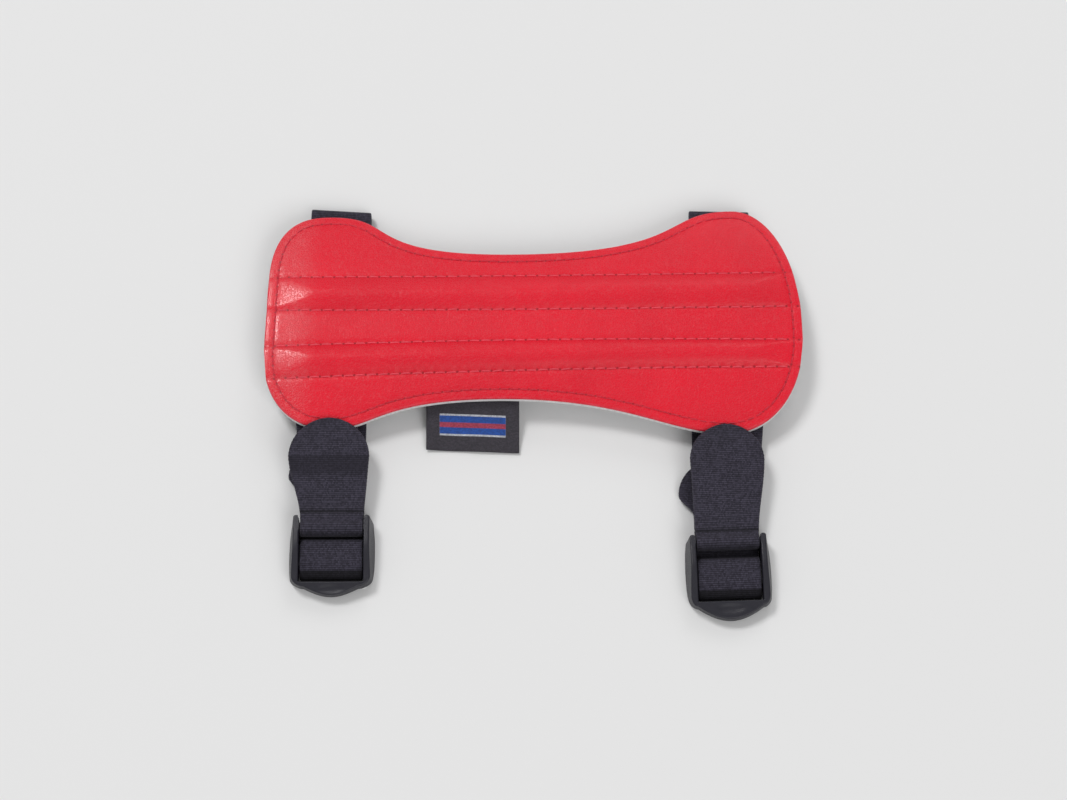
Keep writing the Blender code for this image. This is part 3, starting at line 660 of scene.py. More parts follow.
@dataclass(frozen=True)
class ThreadFinish:
    """Twisted red thread. Its pattern is along the thread and round it, in millimetres and turns."""

    name: str = "red_thread"
    red: Colour = (0.92, 0.125, 0.17, 1.0)
    # dark: painted shade in the grooves between the plies
    dark: Colour = (0.55, 0.020, 0.040, 1.0)
    roughness: float = 0.55
    gloss: float = 0.15
    twist: float = 0.42
    depth: float = 0.02

    def build(self, effects: Effects) -> Material:
        """Builds the material.

        Args:
            effects: The shared groups.

        Returns:
            The material.
        """
        made, bench, shader = new_finish(self.name)
        along, turns, _ = bench.split(bench.pattern("twist"))
        # Painted shade: the thread is red on its plies and dark in the grooves between them
        ply = bench.humps(bench.math("ADD", bench.math("DIVIDE", along, self.twist), turns))
        tone = effects.toned(bench, bench.places(), patch=6.0, amount=0.4)
        inputs = {
            "Base Color": bench.scale(bench.blend(ply, self.dark, self.red), tone),
            "Roughness": self.roughness,
            "Specular IOR Level": self.gloss,
            "Normal": bench.bump(ply, self.depth),
        }
        bench.dress(shader, inputs)
        return made


@dataclass(frozen=True)
class LiningFinish:
    """White brushed lining cloth with a fine knit."""

    white: Colour = (0.80, 0.79, 0.79, 1.0)
    # grey: painted shade of the knit's hollows, and the colour of the needle holes
    grey: Colour = (0.52, 0.50, 0.51, 1.0)
    roughness: float = 0.85
    sheen: float = 0.2
    darkest_knit: float = 0.35
    hole_share: float = 0.6
    depth: float = 0.06

    def build(self, effects: Effects) -> Material:
        """Builds the material.

        Args:
            effects: The shared groups.

        Returns:
            The material.
        """
        made, bench, shader = new_finish("white_lining")
        where = bench.places()
        knit = bench.group(
            effects.weave, {"Vector": where, "Rib pitch": 0.45, "Bead pitch": 0.4, "Uneven": 0.3}
        )
        tone = effects.toned(bench, where, patch=12.0, amount=0.14)
        edge = {"Line": bench.pattern("rim"), "Pitch": EDGE_PITCH / MM, "Groove": 1.0}
        seam = bench.group(effects.stitching, edge)
        # Painted shade: the knit's hollows are drawn greyer than its crests
        cloth = bench.blend(bench.spread(knit["Light"], self.darkest_knit, 1.0), self.grey, self.white)
        pierced = bench.blend(bench.times(seam["Hole"], self.hole_share), cloth, self.grey)
        inputs = {
            "Base Color": bench.scale(pierced, tone),
            "Roughness": self.roughness,
            "Sheen Weight": self.sheen,
            "Normal": bench.bump(knit["Height"], self.depth),
        }
        bench.dress(shader, inputs)
        return made


@dataclass(frozen=True)
class ElasticFinish:
    """Black ribbed elastic. Its pattern is across, along, and the distance from a round end.

    The worn band runs from smooth_from to smooth_to and fades in and out over smooth_fade. In the
    buckle's slots the colour carries painted shade.
    """

    # dark and light: painted shade of the weave's hollows and painted highlight of its crests
    dark: Colour = (0.0100, 0.0085, 0.0145, 1.0)
    light: Colour = (0.062, 0.056, 0.084, 1.0)
    fuzz: Colour = (0.085, 0.080, 0.105, 1.0)
    roughness: float = 0.82
    gloss: float = 0.25
    sheen: float = 0.05
    sheen_roughness: float = 0.5
    rib: float = 0.62
    bead: float = 0.46
    depth: float = 0.09
    smooth_from: float = 12.3
    smooth_to: float = 21.5
    smooth_fade: tuple[float, float] = (0.5, 5.0)
    smooth_share: float = 0.62
    fuzz_share: float = 0.5
    painted_slot_shade: float = 0.22

    def build(self, effects: Effects) -> Material:
        """Builds the material.

        Args:
            effects: The shared groups.

        Returns:
            The material.
        """
        made, bench, shader = new_finish("black_ribbed_elastic")
        across, along, from_end = bench.split(bench.pattern("cloth"))
        flat = bench.combine(across, along, 0.0)
        ribs = {"Vector": flat, "Rib pitch": self.rib, "Bead pitch": self.bead, "Uneven": 0.5}
        weave = bench.group(effects.weave, ribs)
        after = bench.fall(from_end, self.smooth_from + self.smooth_fade[0], self.smooth_from)
        before = bench.fall(from_end, self.smooth_to - self.smooth_fade[1], self.smooth_to)
        # The worn pattern's first part is the painted shade in the buckle's slots, its second the worn
        # band
        shade, has_band, _ = bench.split(bench.pattern("worn"))
        smooth = bench.times(bench.times(after, before), has_band)
        tone = effects.toned(bench, flat, patch=11.0, amount=0.45, speckle=0.35)
        shown = bench.times(weave["Light"], bench.fused(smooth, -self.smooth_share, 1.0))
        _, edge, _ = bench.split(bench.pattern("edge"))
        worn = {"Vector": flat, "From edge": edge, "Width": 0.55, "Breaks": 0.8}
        wear = bench.group(effects.wear, worn)
        # Painted highlight: the weave's crests take the light colour and its hollows the dark one
        mixed = bench.blend(shown, self.dark, self.light)
        fuzzed = bench.blend(bench.times(wear["Wear"], self.fuzz_share), mixed, self.fuzz)
        # Painted shade: the colour is darkened where the strap lies in the buckle's slots
        lit = bench.times(tone, bench.spread(shade, 1.0, self.painted_slot_shade))
        inputs = {
            "Base Color": bench.scale(fuzzed, lit),
            "Roughness": self.roughness,
            "Specular IOR Level": self.gloss,
            "Sheen Weight": self.sheen,
            "Sheen Roughness": self.sheen_roughness,
            "Normal": bench.bump(weave["Height"], self.depth),
        }
        bench.dress(shader, inputs)
        return made


@dataclass(frozen=True)
class PlasticFinish:
    """Black moulded plastic with a fine satin texture. Its rubbed patches are greyer."""

    black: Colour = (0.0108, 0.0102, 0.0175, 1.0)
    grey: Colour = (0.028, 0.027, 0.036, 1.0)
    roughness: float = 0.32
    rubbed_roughness: float = 0.16
    gloss: float = 0.42
    rubbed_rate: float = 0.55
    rubbed_share: float = 0.2
    depth: float = 0.004

    def build(self, effects: Effects) -> Material:
        """Builds the material.

        Args:
            effects: The shared groups.

        Returns:
            The material.
        """
        made, bench, shader = new_finish("black_moulded_plastic")
        where = bench.places()
        grain = bench.group(effects.grain, {"Vector": where, "Cell size": 0.16, "Pores": 0.5})
        tone = effects.toned(bench, where, patch=5.0, amount=0.35, speckle=0.25)
        clouds = bench.noise(where, self.rubbed_rate, 4.0, 0.65)
        kept = bench.times(bench.fall(clouds, 0.72, 0.58), -self.rubbed_share)
        rubbed = bench.math("ADD", kept, self.rubbed_share, clamp=True)
        inputs = {
            "Base Color": bench.blend(rubbed, bench.scale(self.black[:3], tone), self.grey),
            "Roughness": bench.fused(clouds, self.rubbed_roughness, self.roughness),
            "Specular IOR Level": self.gloss,
            "Normal": bench.bump(grain["Height"], self.depth),
        }
        bench.dress(shader, inputs)
        return made


@dataclass(frozen=True)
class TagFinish:
    """Black woven tag with plain bars about one middle line. Its pattern is across and down it."""

    black: Colour = (0.012, 0.010, 0.015, 1.0)
    # lit: painted highlight of the weave's crests
    lit: Colour = (0.050, 0.042, 0.058, 1.0)
    blue: Colour = (0.010, 0.085, 0.42, 1.0)
    white: Colour = (0.62, 0.64, 0.70, 1.0)
    pink: Colour = (0.46, 0.045, 0.10, 1.0)
    roughness: float = 0.72
    sheen: float = 0.1
    depth: float = 0.05
    bars_middle: float = 7.4
    bars_reach: float = 10.6
    white_half: float = 3.5
    blue_half: float = 2.9
    pink_half: float = 0.75

    def build(self, effects: Effects) -> Material:
        """Builds the material.

        Args:
            effects: The shared groups.

        Returns:
            The material.
        """
        made, bench, shader = new_finish("black_woven_tag")
        cloth = bench.pattern("cloth")
        across, down, _ = bench.split(cloth)
        weave = bench.group(
            effects.weave, {"Vector": cloth, "Rib pitch": 0.32, "Bead pitch": 0.42, "Uneven": 0.6}
        )
        away = bench.math("ABSOLUTE", bench.math("SUBTRACT", down, self.bars_middle))
        ends = bench.fall(bench.math("ABSOLUTE", across), self.bars_reach, self.bars_reach + 0.2)
        # Painted highlight and shade: the crests take the lit colour and the hollows the black, and the
        # bars are lighter on the crests
        light = bench.spread(weave["Light"], 0.45, 1.05)
        colour = bench.blend(weave["Light"], self.black, self.lit)
        bars = ((self.white, self.white_half), (self.blue, self.blue_half), (self.pink, self.pink_half))
        for tint, half in bars:
            inside = bench.times(bench.fall(away, half, half + 0.12), ends)
            colour = bench.blend(inside, colour, bench.scale(tint[:3], light))
        tone = effects.toned(bench, cloth, patch=7.0, amount=0.4)
        inputs = {
            "Base Color": bench.scale(colour, tone),
            "Roughness": self.roughness,
            "Sheen Weight": self.sheen,
            "Normal": bench.bump(weave["Height"], self.depth),
        }
        bench.dress(shader, inputs)
        return made


class Finishes:
    """Every material of the guard. The thread round the edge is darker than the one on the seams."""

    def __init__(self) -> None:
        """Builds the shared groups and then each material."""
        effects = Effects()
        # The edge thread's red and its painted shade between the plies
        red, dark = (0.78, 0.052, 0.085, 1.0), (0.40, 0.009, 0.020, 1.0)
        self.leather = LeatherFinish().build(effects)
        self.thread = ThreadFinish().build(effects)
        self.edge_thread = ThreadFinish("dark_red_thread", red, dark).build(effects)
        self.lining = LiningFinish().build(effects)
        self.elastic = ElasticFinish().build(effects)
        self.plastic = PlasticFinish().build(effects)
        self.tag = TagFinish().build(effects)


# Panel


@dataclass(frozen=True)
class Lobe:
    """One quarter of the panel's outline, as shares of the half length and half width.

    From its end point the outline rounds a corner to the apex, as a superellipse of this power, and
    then runs in to the waist as a Bezier curve whose handles are reach_out and reach_in.
    """

    end: tuple[float, float]
    apex: tuple[float, float]
    power: float
    reach_out: float
    reach_in: float
    waist: tuple[float, float]


@dataclass(frozen=True)
class Crinkle:
    """A patch of small creases in the leather: a wave under a bell, with its place in millimetres."""

    x: float
    y: float
    reach_x: float
    reach_y: float
    angle: float
    wave: float
    depth: float


LOBES = {
    "far_left": Lobe((-0.992, 0.25), (-0.765, 0.965), 2.6, 0.25, 0.54, (-0.11, 0.590)),
    "far_right": Lobe((1.0, -0.10), (0.755, 1.030), 2.0, 0.28, 0.72, (-0.11, 0.590)),
    "near_left": Lobe((-1.0, -0.30), (-0.745, -0.930), 2.3, 0.16, 0.46, (-0.11, -0.690)),
    "near_right": Lobe((1.0, -0.15), (0.715, -0.965), 2.15, 0.22, 0.46, (-0.11, -0.690)),
}

# Seams along the panel, far to near: shares of the half width at its left end, middle and right end
SEAMS = {
    "far_rib_far": (0.366, 0.381, 0.416),
    "far_rib_near": (0.063, 0.073, 0.102),
    "near_rib_far": (-0.255, -0.198, -0.196),
    "near_rib_near": (-0.532, -0.455, -0.427),
}

CRINKLES = (
    Crinkle(-77.0, 0.8, 2.6, 1.5, 62.0, 1.5, 0.10),
    Crinkle(-80.5, 1.8, 2.0, 1.2, 15.0, 1.2, 0.08),
    Crinkle(-74.5, 3.4, 2.0, 1.0, 75.0, 1.4, 0.07),
    Crinkle(-79.0, -8.6, 3.0, 1.3, 80.0, 1.8, 0.06),
    Crinkle(60.0, -2.0, 16.0, 2.2, 7.0, 1.9, 0.04),
    Crinkle(78.0, 8.0, 4.0, 2.5, 30.0, 2.4, 0.06),
    Crinkle(12.0, -12.0, 14.0, 2.0, 55.0, 2.1, 0.035),
    Crinkle(-30.0, 8.0, 18.0, 3.0, 72.0, 2.3, 0.03),
)


@dataclass(frozen=True)
class PanelShape:
    """The panel's plan and its heights."""

    shift_y: float
    length: float = 175.2 * MM
    width: float = 79.8 * MM
    sag: float = 5.0 * MM
    backing_z: float = 4.5 * MM
    backing_thickness: float = 2.04 * MM
    face_z: float = 6.6 * MM
    face_thickness: float = 1.2 * MM
    rib_height: float = 1.75 * MM
    rib_power: float = 1.05
    rib_ramp: float = 12.0 * MM
    rib_soft: float = 0.55 * MM
    inset: float = 3.0 * MM
    seam_depth: float = 0.24 * MM
    seam_width: float = 0.85 * MM
    edge_depth: float = 0.20 * MM
    edge_width: float = 0.9 * MM
    rim_fall: float = 0.23 * MM
    rim_power: float = 1.5
    outline_start: float = -62.0 * MM
    outline_step: float = 0.8 * MM
    columns: int = 392

    @property
    def half(self) -> Array:
        """Half length and half width."""
        return np.array([self.length / 2, self.width / 2])

    def quarter(self, name: str) -> Array:
        """Points of the outline from the panel's end, over one lobe's apex, to the waist.

        Args:
            name: The lobe.

        Returns:
            A superellipse's quarter and a Bezier curve after it.
        """
        lobe = LOBES[name]
        side = 1.0 if lobe.apex[0] > 0 else -1.0
        end, apex, waist = (np.array(p) * self.half for p in (lobe.end, lobe.apex, lobe.waist))
        angle = np.linspace(0, math.pi / 2, 90)
        corner = np.stack(
            [
                apex[0] + (end[0] - apex[0]) * np.cos(angle) ** (2 / lobe.power),
                end[1] + (apex[1] - end[1]) * np.sin(angle) ** (2 / lobe.power),
            ],
            axis=1,
        )
        out = apex - [side * lobe.reach_out * self.half[0], 0]
        back = waist + [side * lobe.reach_in * self.half[0], 0]
        flank = bezier(apex, out, back, waist, np.linspace(0, 1, 120))
        return np.concatenate([corner, flank[1:]])

    def edges(self) -> tuple[Array, Array]:
        """The outline's far and near edges, each from the left end to the right end."""
        far = np.concatenate([self.quarter("far_left"), self.quarter("far_right")[::-1][1:]])
        near = np.concatenate([self.quarter("near_left"), self.quarter("near_right")[::-1][1:]])
        return far, near

    def outline(self) -> Array:
        """The whole outline as a closed line in even steps.

        Returns:
            Points that start and end under the left lobe, running left to right along the near edge.
        """
        far, near = self.edges()
        ring = np.concatenate([near, far[::-1]])
        first = int(np.argmin(np.abs(near[:, 0] - self.outline_start)))
        ring = np.concatenate([ring[first:], ring[: first + 1]])
        ring = ring[np.concatenate([[True], np.linalg.norm(np.diff(ring, axis=0), axis=1) > 1e-7])]
        total = lengths_along(ring)[-1]
        return at_lengths(ring, np.linspace(0, total, int(total / self.outline_step)))

    def inset_line(self) -> Array:
        """The edge stitching: a closed line that runs inside the outline at an even distance.

        Returns:
            Points of the line: the outline moved along its inward normals.
        """
        ring = self.outline()
        ahead = np.roll(ring[:-1], -1, axis=0) - np.roll(ring[:-1], 1, axis=0)
        ahead /= np.linalg.norm(ahead, axis=1)[:, None]
        inward = np.stack([-ahead[:, 1], ahead[:, 0]], axis=1)
        moved = ring[:-1] + inward * self.inset
        return np.concatenate([moved, moved[:1]])

    def edge_y(self, edge: Array, x: float) -> float:
        """Where the far or near edge lies at x."""
        points = edge[np.abs(edge[:, 0]) <= self.half[0] * 0.97]
        order = np.argsort(points[:, 0])
        return float(np.interp(x, points[order, 0], points[order, 1]))

    def seam_y(self, name: str, x: Array) -> Array:
        """A seam's place at x: the parabola through its left end, middle and right end."""
        left, middle, right = SEAMS[name]
        t = x / self.half[0]
        bend = (left + right) / 2 - middle
        return (middle + t * (right - left) / 2 + bend * t * t) * self.half[1]

    def end_x(self, left: bool, y: Array) -> Array:
        """Where the left or right end of the outline lies at y.

        Args:
            left: Whether it is the left end.
            y: Places across the panel.

        Returns:
            The end's x.
        """
        far, near = self.edges()
        if not left:
            far, near = far[::-1], near[::-1]
        up = far[: int(np.argmax(far[: len(far) // 2, 1])) + 1]
        down = near[: int(np.argmin(near[: len(near) // 2, 1])) + 1]
        line = np.concatenate([down[::-1], up])
        return np.interp(y, line[:, 1], line[:, 0])

    def seam_line(self, name: str, shares: Array) -> Array:
        """A seam from one end of the outline to the other, at these shares of its run."""
        low = float(self.end_x(True, self.seam_y(name, -self.half[0])))
        high = float(self.end_x(False, self.seam_y(name, self.half[0])))
        x = low + (high - low) * shares
        return np.stack([x, self.seam_y(name, x)], axis=1)

    def lobe_strip(self, edge: Array, name: str, shares: Array, rows: Array) -> Array:
        """Rows of the plan from an outer seam out to the edge.

        Args:
            edge: The far or near edge.
            name: The seam.
            shares: Shares of the columns.
            rows: Shares of the rows, from the seam at 0 to the edge at 1.

        Returns:
            Rows by columns by 2. Columns run straight from the seam to the rim and lean with it.
        """
        inner = self.seam_line(name, shares)
        outward = np.sign(edge[len(edge) // 2, 1])
        levels = np.interp(edge[:, 0], inner[:, 0], inner[:, 1])
        beyond = np.flatnonzero(outward * (edge[:, 1] - levels) > 0.01 * MM)
        rim = np.concatenate([inner[:1], edge[beyond[0] : beyond[-1] + 1], inner[-1:]])
        outer = at_lengths(rim, shares * lengths_along(rim)[-1])
        share = rows[1:, None, None]
        lean = (share + smooth_step(share)) / 2
        straight = inner + (outer - inner) * share
        straight[:, :, 0] = (inner + (outer - inner) * lean)[:, :, 0]
        return straight

    def plan(self, columns: int, lobe_rows: int, rib_rows: int, channel_rows: int) -> Array:
        """Plan grid, rows from the near edge to the far edge.

        Args:
            columns: Number of steps along the panel.
            lobe_rows: Rows of each strip outside the outer seams.
            rib_rows: Rows of each rib.
            channel_rows: Rows between the ribs.

        Returns:
            Rows by columns by 2, finer at the rim and at the seams.
        """
        far, near = self.edges()
        shares = graded(columns, 0.22, 1.3)
        order = ["near_rib_near", "near_rib_far", "far_rib_near", "far_rib_far"]
        lines = [self.seam_line(name, shares) for name in order]
        lobe = graded(lobe_rows, 0.25, 1.35)
        rows = [self.lobe_strip(near, order[0], shares, lobe)[::-1], lines[0][None]]
        for low, high, count in zip(lines, lines[1:], (rib_rows, channel_rows, rib_rows)):
            share = graded(count, 0.45, 1.3)[1:, None, None]
            rows.append(low + (high - low) * share)
        rows.append(self.lobe_strip(far, order[3], shares, lobe))
        return np.concatenate(rows)

    def arch(self, y: Array) -> Array:
        """Height of the shallow arch: a parabola across the width, zero at the half width."""
        return self.sag * (1 - (y / self.half[1]) ** 2)

    def rib_lift(self, x: Array, y: Array) -> Array:
        """Height of the two padded ribs.

        Args:
            x: Places along the panel.
            y: Places across it.

        Returns:
            A half sine wave between each rib's seams, cut at both ends by a ramp that starts at the
            edge stitching. A soft minimum joins the wave and the ramp.
        """
        lift = np.zeros_like(x)
        left = x - self.end_x(True, y) - self.inset
        right = self.end_x(False, y) - x - self.inset
        ramp = self.rib_height * np.maximum(np.minimum(left, right), 0) / self.rib_ramp
        for far_seam, near_seam in (("far_rib_far", "far_rib_near"), ("near_rib_far", "near_rib_near")):
            high, low = self.seam_y(far_seam, x), self.seam_y(near_seam, x)
            across = np.clip((y - low) / (high - low), 0, 1)
            wave = self.rib_height * np.sin(math.pi * across) ** self.rib_power
            apart = np.sqrt((wave - ramp) ** 2 + self.rib_soft**2)
            lower = (wave + ramp - apart) / 2 + self.rib_soft / 2
            lift += np.where((across > 0) & (across < 1), np.minimum(np.maximum(lower, 0), wave), 0)
        return lift

    def seam_pattern(self, x: Array, y: Array) -> tuple[Array, Array]:
        """Distance along and away from the nearest seam.

        Args:
            x: Places along the panel.
            y: Places across it.

        Returns:
            The length from the seam's left end and the distance from the seam.
        """
        away = np.stack([np.abs(y - self.seam_y(name, x)) for name in SEAMS])
        return x + self.half[0], away.min(axis=0)

    def crinkles(self, x: Array, y: Array) -> Array:
        """Height of the small creases: a sine wave across each patch under a bell curve."""
        height = np.zeros_like(x)
        for patch in CRINKLES:
            dx, dy = x / MM - patch.x, y / MM - patch.y
            turn = math.radians(patch.angle)
            phase = (dx * math.sin(turn) + dy * math.cos(turn)) * 2 * math.pi / patch.wave
            bell = np.exp(-((dx / patch.reach_x) ** 2) - (dy / patch.reach_y) ** 2)
            height += patch.depth * MM * bell * np.sin(phase + 0.25 * dx)
        return height

    def face_height(self, x: Array, y: Array, rim: Array | None = None) -> Array:
        """Height of the face's upper side, with its seams drawn in.

        Args:
            x: Places along the panel.
            y: Places across it.
            rim: Distance from the outline, where it is known.

        Returns:
            Face level plus arch, ribs and creases, less a groove at each seam. Where the rim is
            known, less a groove at the edge stitching and the fall of the face outside it.
        """
        _, away = self.seam_pattern(x, y)
        groove = self.seam_depth * bell(away, self.seam_width)
        height = self.face_z + self.face_thickness + self.arch(y) + self.rib_lift(x, y) - groove
        if rim is not None:
            height -= self.edge_depth * bell(rim - self.inset, self.edge_width)
            height -= self.rim_fall * np.clip(1 - rim / self.inset, 0, 1) ** self.rim_power
        return height + self.crinkles(x, y)

    def under_side(self, y: Array) -> Array:
        """Height of the backing's underside."""
        return self.backing_z + self.arch(y)

    def world(self, points: Array) -> Array:
        """Points of the plan's frame carried to the guard's frame."""
        return points + np.array([0.0, self.shift_y, 0.0])

    def sheet(
        self, name: str, plan: Array, heights: tuple[Array, Array], finish: Material, patterns: dict
    ) -> Object:
        """A piece between two heights over a plan grid.

        Args:
            name: The piece's name.
            plan: Its plan, rows by columns by 2.
            heights: Heights of its underside and of its upper side.
            finish: Its material.
            patterns: Named vectors for each point of the plan, in metres.

        Returns:
            The closed piece, with its patterns in millimetres on both sides.
        """
        flat = plan.reshape(-1, 2)
        lower, upper = (np.column_stack([flat, z]).reshape(*plan.shape[:2], 3) for z in heights)
        points, faces = slab(lower, upper)
        doubled = {label: np.concatenate([values, values]) / MM for label, values in patterns.items()}
        return new_piece(name, self.world(points), faces, finish, doubled)


def rim_drop(rim: Array, radius: float) -> Array:
    """How far a rounded edge of this radius falls at a distance from the rim: a quarter circle."""
    into = np.clip(1 - rim / radius, 0, 1)
    return radius * (1 - np.sqrt(1 - into**2))


@dataclass(frozen=True)
class PanelFace:
    """The red face: a sheet with two padded ribs, drawn in along every line of stitches."""

    shape: PanelShape
    edge_radius: float = 0.5 * MM
    under_radius: float = 0.25 * MM
    pucker_depth: float = 0.055 * MM
    pucker_width: float = 1.0 * MM
    uneven: float = 0.05 * MM
    uneven_size: float = 9.0 * MM
    uneven_reach: float = 4.0 * MM
    lobe_rows: int = 25
    rib_rows: int = 21
    channel_rows: int = 14

    def build(self, finish: Material) -> Object:
        """Builds the face.

        Args:
            finish: Its material.

        Returns:
            The piece: a slab whose upper side has ribs, grooves, puckers and a rounded rim.
        """
        shape = self.shape
        plan = shape.plan(shape.columns, self.lobe_rows, self.rib_rows, self.channel_rows)
        flat = plan.reshape(-1, 2)
        x, y = flat[:, 0], flat[:, 1]
        rim, _ = nearest_on_line(flat, shape.outline())
        from_stitches, along = nearest_on_line(flat, shape.inset_line())
        seam_along, seam_away = shape.seam_pattern(x, y)
        high = shape.face_height(x, y, rim)
        high += self.puckers(seam_along, seam_away, SEAM_PITCH)
        high += self.puckers(along, from_stitches, EDGE_PITCH)
        uneven = ripple(flat, self.uneven_size, 3) * smooth_step((rim - MM) / self.uneven_reach)
        high += self.uneven * uneven
        high -= rim_drop(rim, self.edge_radius)
        low = shape.face_z + shape.arch(y) + rim_drop(rim, self.under_radius)
        patterns = {
            "seam": np.column_stack([seam_along, seam_away, rim]),
            "rim": np.column_stack([along, from_stitches, rim]),
        }
        return shape.sheet("panel_face_leather", plan, (low, high), finish, patterns)

    def puckers(self, along: Array, away: Array, pitch: float) -> Array:
        """Small folds that each stitch draws in the leather.

        Args:
            along: Length along the line of stitches.
            away: Distance from it.
            pitch: Length of a stitch.

        Returns:
            Heights: low at the holes and high between them, fading away from the line.
        """
        wave = np.cos(2 * math.pi * along / pitch)
        return -self.pucker_depth * wave * bell(away, self.pucker_width)


@dataclass(frozen=True)
class PanelBacking:
    """The white lining under the face."""

    shape: PanelShape
    edge_radius: float = 0.7 * MM
    upper_radius: float = 0.3 * MM
    drawn_depth: float = 0.22 * MM
    drawn_width: float = 0.9 * MM
    columns: int = 220
    lobe_rows: int = 16
    rib_rows: int = 6
    channel_rows: int = 4

    def build(self, finish: Material) -> Object:
        """Builds the lining.

        Args:
            finish: Its material.

        Returns:
            The piece: a slab with both rims rounded, drawn in at the edge stitching underneath.
        """
        shape = self.shape
        plan = shape.plan(self.columns, self.lobe_rows, self.rib_rows, self.channel_rows)
        flat = plan.reshape(-1, 2)
        y = flat[:, 1]
        rim, _ = nearest_on_line(flat, shape.outline())
        from_stitches, along = nearest_on_line(flat, shape.inset_line())
        drawn = self.drawn_depth * bell(from_stitches, self.drawn_width)
        low = shape.under_side(y) + rim_drop(rim, self.edge_radius) + drawn
        level = shape.backing_z + shape.backing_thickness + shape.arch(y)
        high = level - rim_drop(rim, self.upper_radius)
        patterns = {"rim": np.column_stack([along, from_stitches, rim])}
        made = shape.sheet("panel_backing_lining", plan, (low, high), finish, patterns)
        line = shape.outline()
        return made


@dataclass(frozen=True)
class Stitches:
    """Rows of thread on the face. Each stitch is a short rod that dives into a hole at both ends."""

    shape: PanelShape
    radius: float = 0.23 * MM
    thinning: float = 0.35
    reach_share: float = 0.44
    rise: float = 0.19 * MM
    dive: float = 0.44 * MM
    skew: float = 0.05 * MM
    rings: int = 7
    sides: int = 7

    def rods(self, start: Array, stop: Array, rim_known: bool) -> tuple[Array, Array, Array]:
        """Rods from start points to stop points.

        Args:
            start: First hole of each stitch, in plan.
            stop: Second hole of each stitch.
            rim_known: Whether the stitches follow the rim, so that its groove counts.

        Returns:
            Points, faces and the twist pattern. Along a rod its middle rises from below the
            leather as one less the fourth power of the share from its middle.
        """
        share = np.linspace(-1, 1, self.rings)
        around = np.arange(self.sides) / self.sides
        ahead = stop - start
        span = np.linalg.norm(ahead, axis=1)
        ahead = ahead / span[:, None]
        beside = np.stack([-ahead[:, 1], ahead[:, 0]], axis=1)
        draw = np.random.default_rng(11)
        skew = draw.normal(0, self.skew, (len(start), 2))
        middle = (start + stop) / 2
        reach = self.reach_share * span
        centre = middle[:, None] + ahead[:, None] * (share * reach[:, None])[..., None]
        centre = centre + beside[:, None] * (skew[:, :1] + skew[:, 1:] * share)[..., None]
        rim = np.full(centre.shape[:2], self.shape.inset) if rim_known else None
        base = self.shape.face_height(centre[..., 0], centre[..., 1], rim)
        level = base + self.rise - self.dive * np.abs(share) ** 4
        thin = self.radius * (1 - self.thinning * np.abs(share) ** 3)
        cos, sin = np.cos(2 * math.pi * around), np.sin(2 * math.pi * around)
        side_step = thin[None, :, None] * cos[None, None, :]
        flat = centre[:, :, None] + beside[:, None, None] * side_step[..., None]
        height = level[:, :, None] + thin[None, :, None] * sin[None, None, :]
        points = np.concatenate([flat, height[..., None]], axis=-1)
        count = self.rings * self.sides
        quads = grid_quads(self.rings, self.sides, wrap=True)
        offsets = np.arange(len(start)) * count
        faces = (quads[None] + offsets[:, None, None]).reshape(-1, 4).tolist()
        first = np.arange(self.sides)
        last = first + count - self.sides
        faces += (first[::-1][None] + offsets[:, None]).tolist()
        faces += (last[None] + offsets[:, None]).tolist()
        along = share[None, :, None] * reach[:, None, None] + 0 * around
        turns = 0 * along + around
        twist = np.stack([along / MM, turns, 0 * along], axis=-1).reshape(-1, 3)
        return points.reshape(-1, 3), faces, twist

    def build_seams(self, finish: Material) -> Object:
        """Builds the stitches of the four lengthwise seams.

        Args:
            finish: The thread's material.

        Returns:
            One piece with all of them.
        """
        shape = self.shape
        starts, stops = [], []
        for name in SEAMS:
            low, high = shape.seam_line(name, np.array([0.0, 1.0]))[:, 0]
            first = math.ceil((low + shape.half[0] + shape.inset) / SEAM_PITCH)
            last = math.floor((high + shape.half[0] - shape.inset) / SEAM_PITCH)
            x = np.arange(first, last + 1) * SEAM_PITCH - shape.half[0]
            line = np.stack([x, shape.seam_y(name, x)], axis=1)
            starts.append(line[:-1])
            stops.append(line[1:])
        points, faces, twist = self.rods(np.concatenate(starts), np.concatenate(stops), False)
        return new_piece("seam_stitches", shape.world(points), faces, finish, {"twist": twist})

    def build_edge(self, finish: Material) -> Object:
        """Builds the stitches that run round the edge.

        Args:
            finish: The thread's material.

        Returns:
            One piece with all of them.
        """
        line = self.shape.inset_line()
        total = lengths_along(line)[-1]
        holes = at_lengths(line, np.arange(0, total, EDGE_PITCH))
        points, faces, twist = self.rods(holes[:-1], holes[1:], True)
        return new_piece("edge_stitches", self.shape.world(points), faces, finish, {"twist": twist})


# Straps


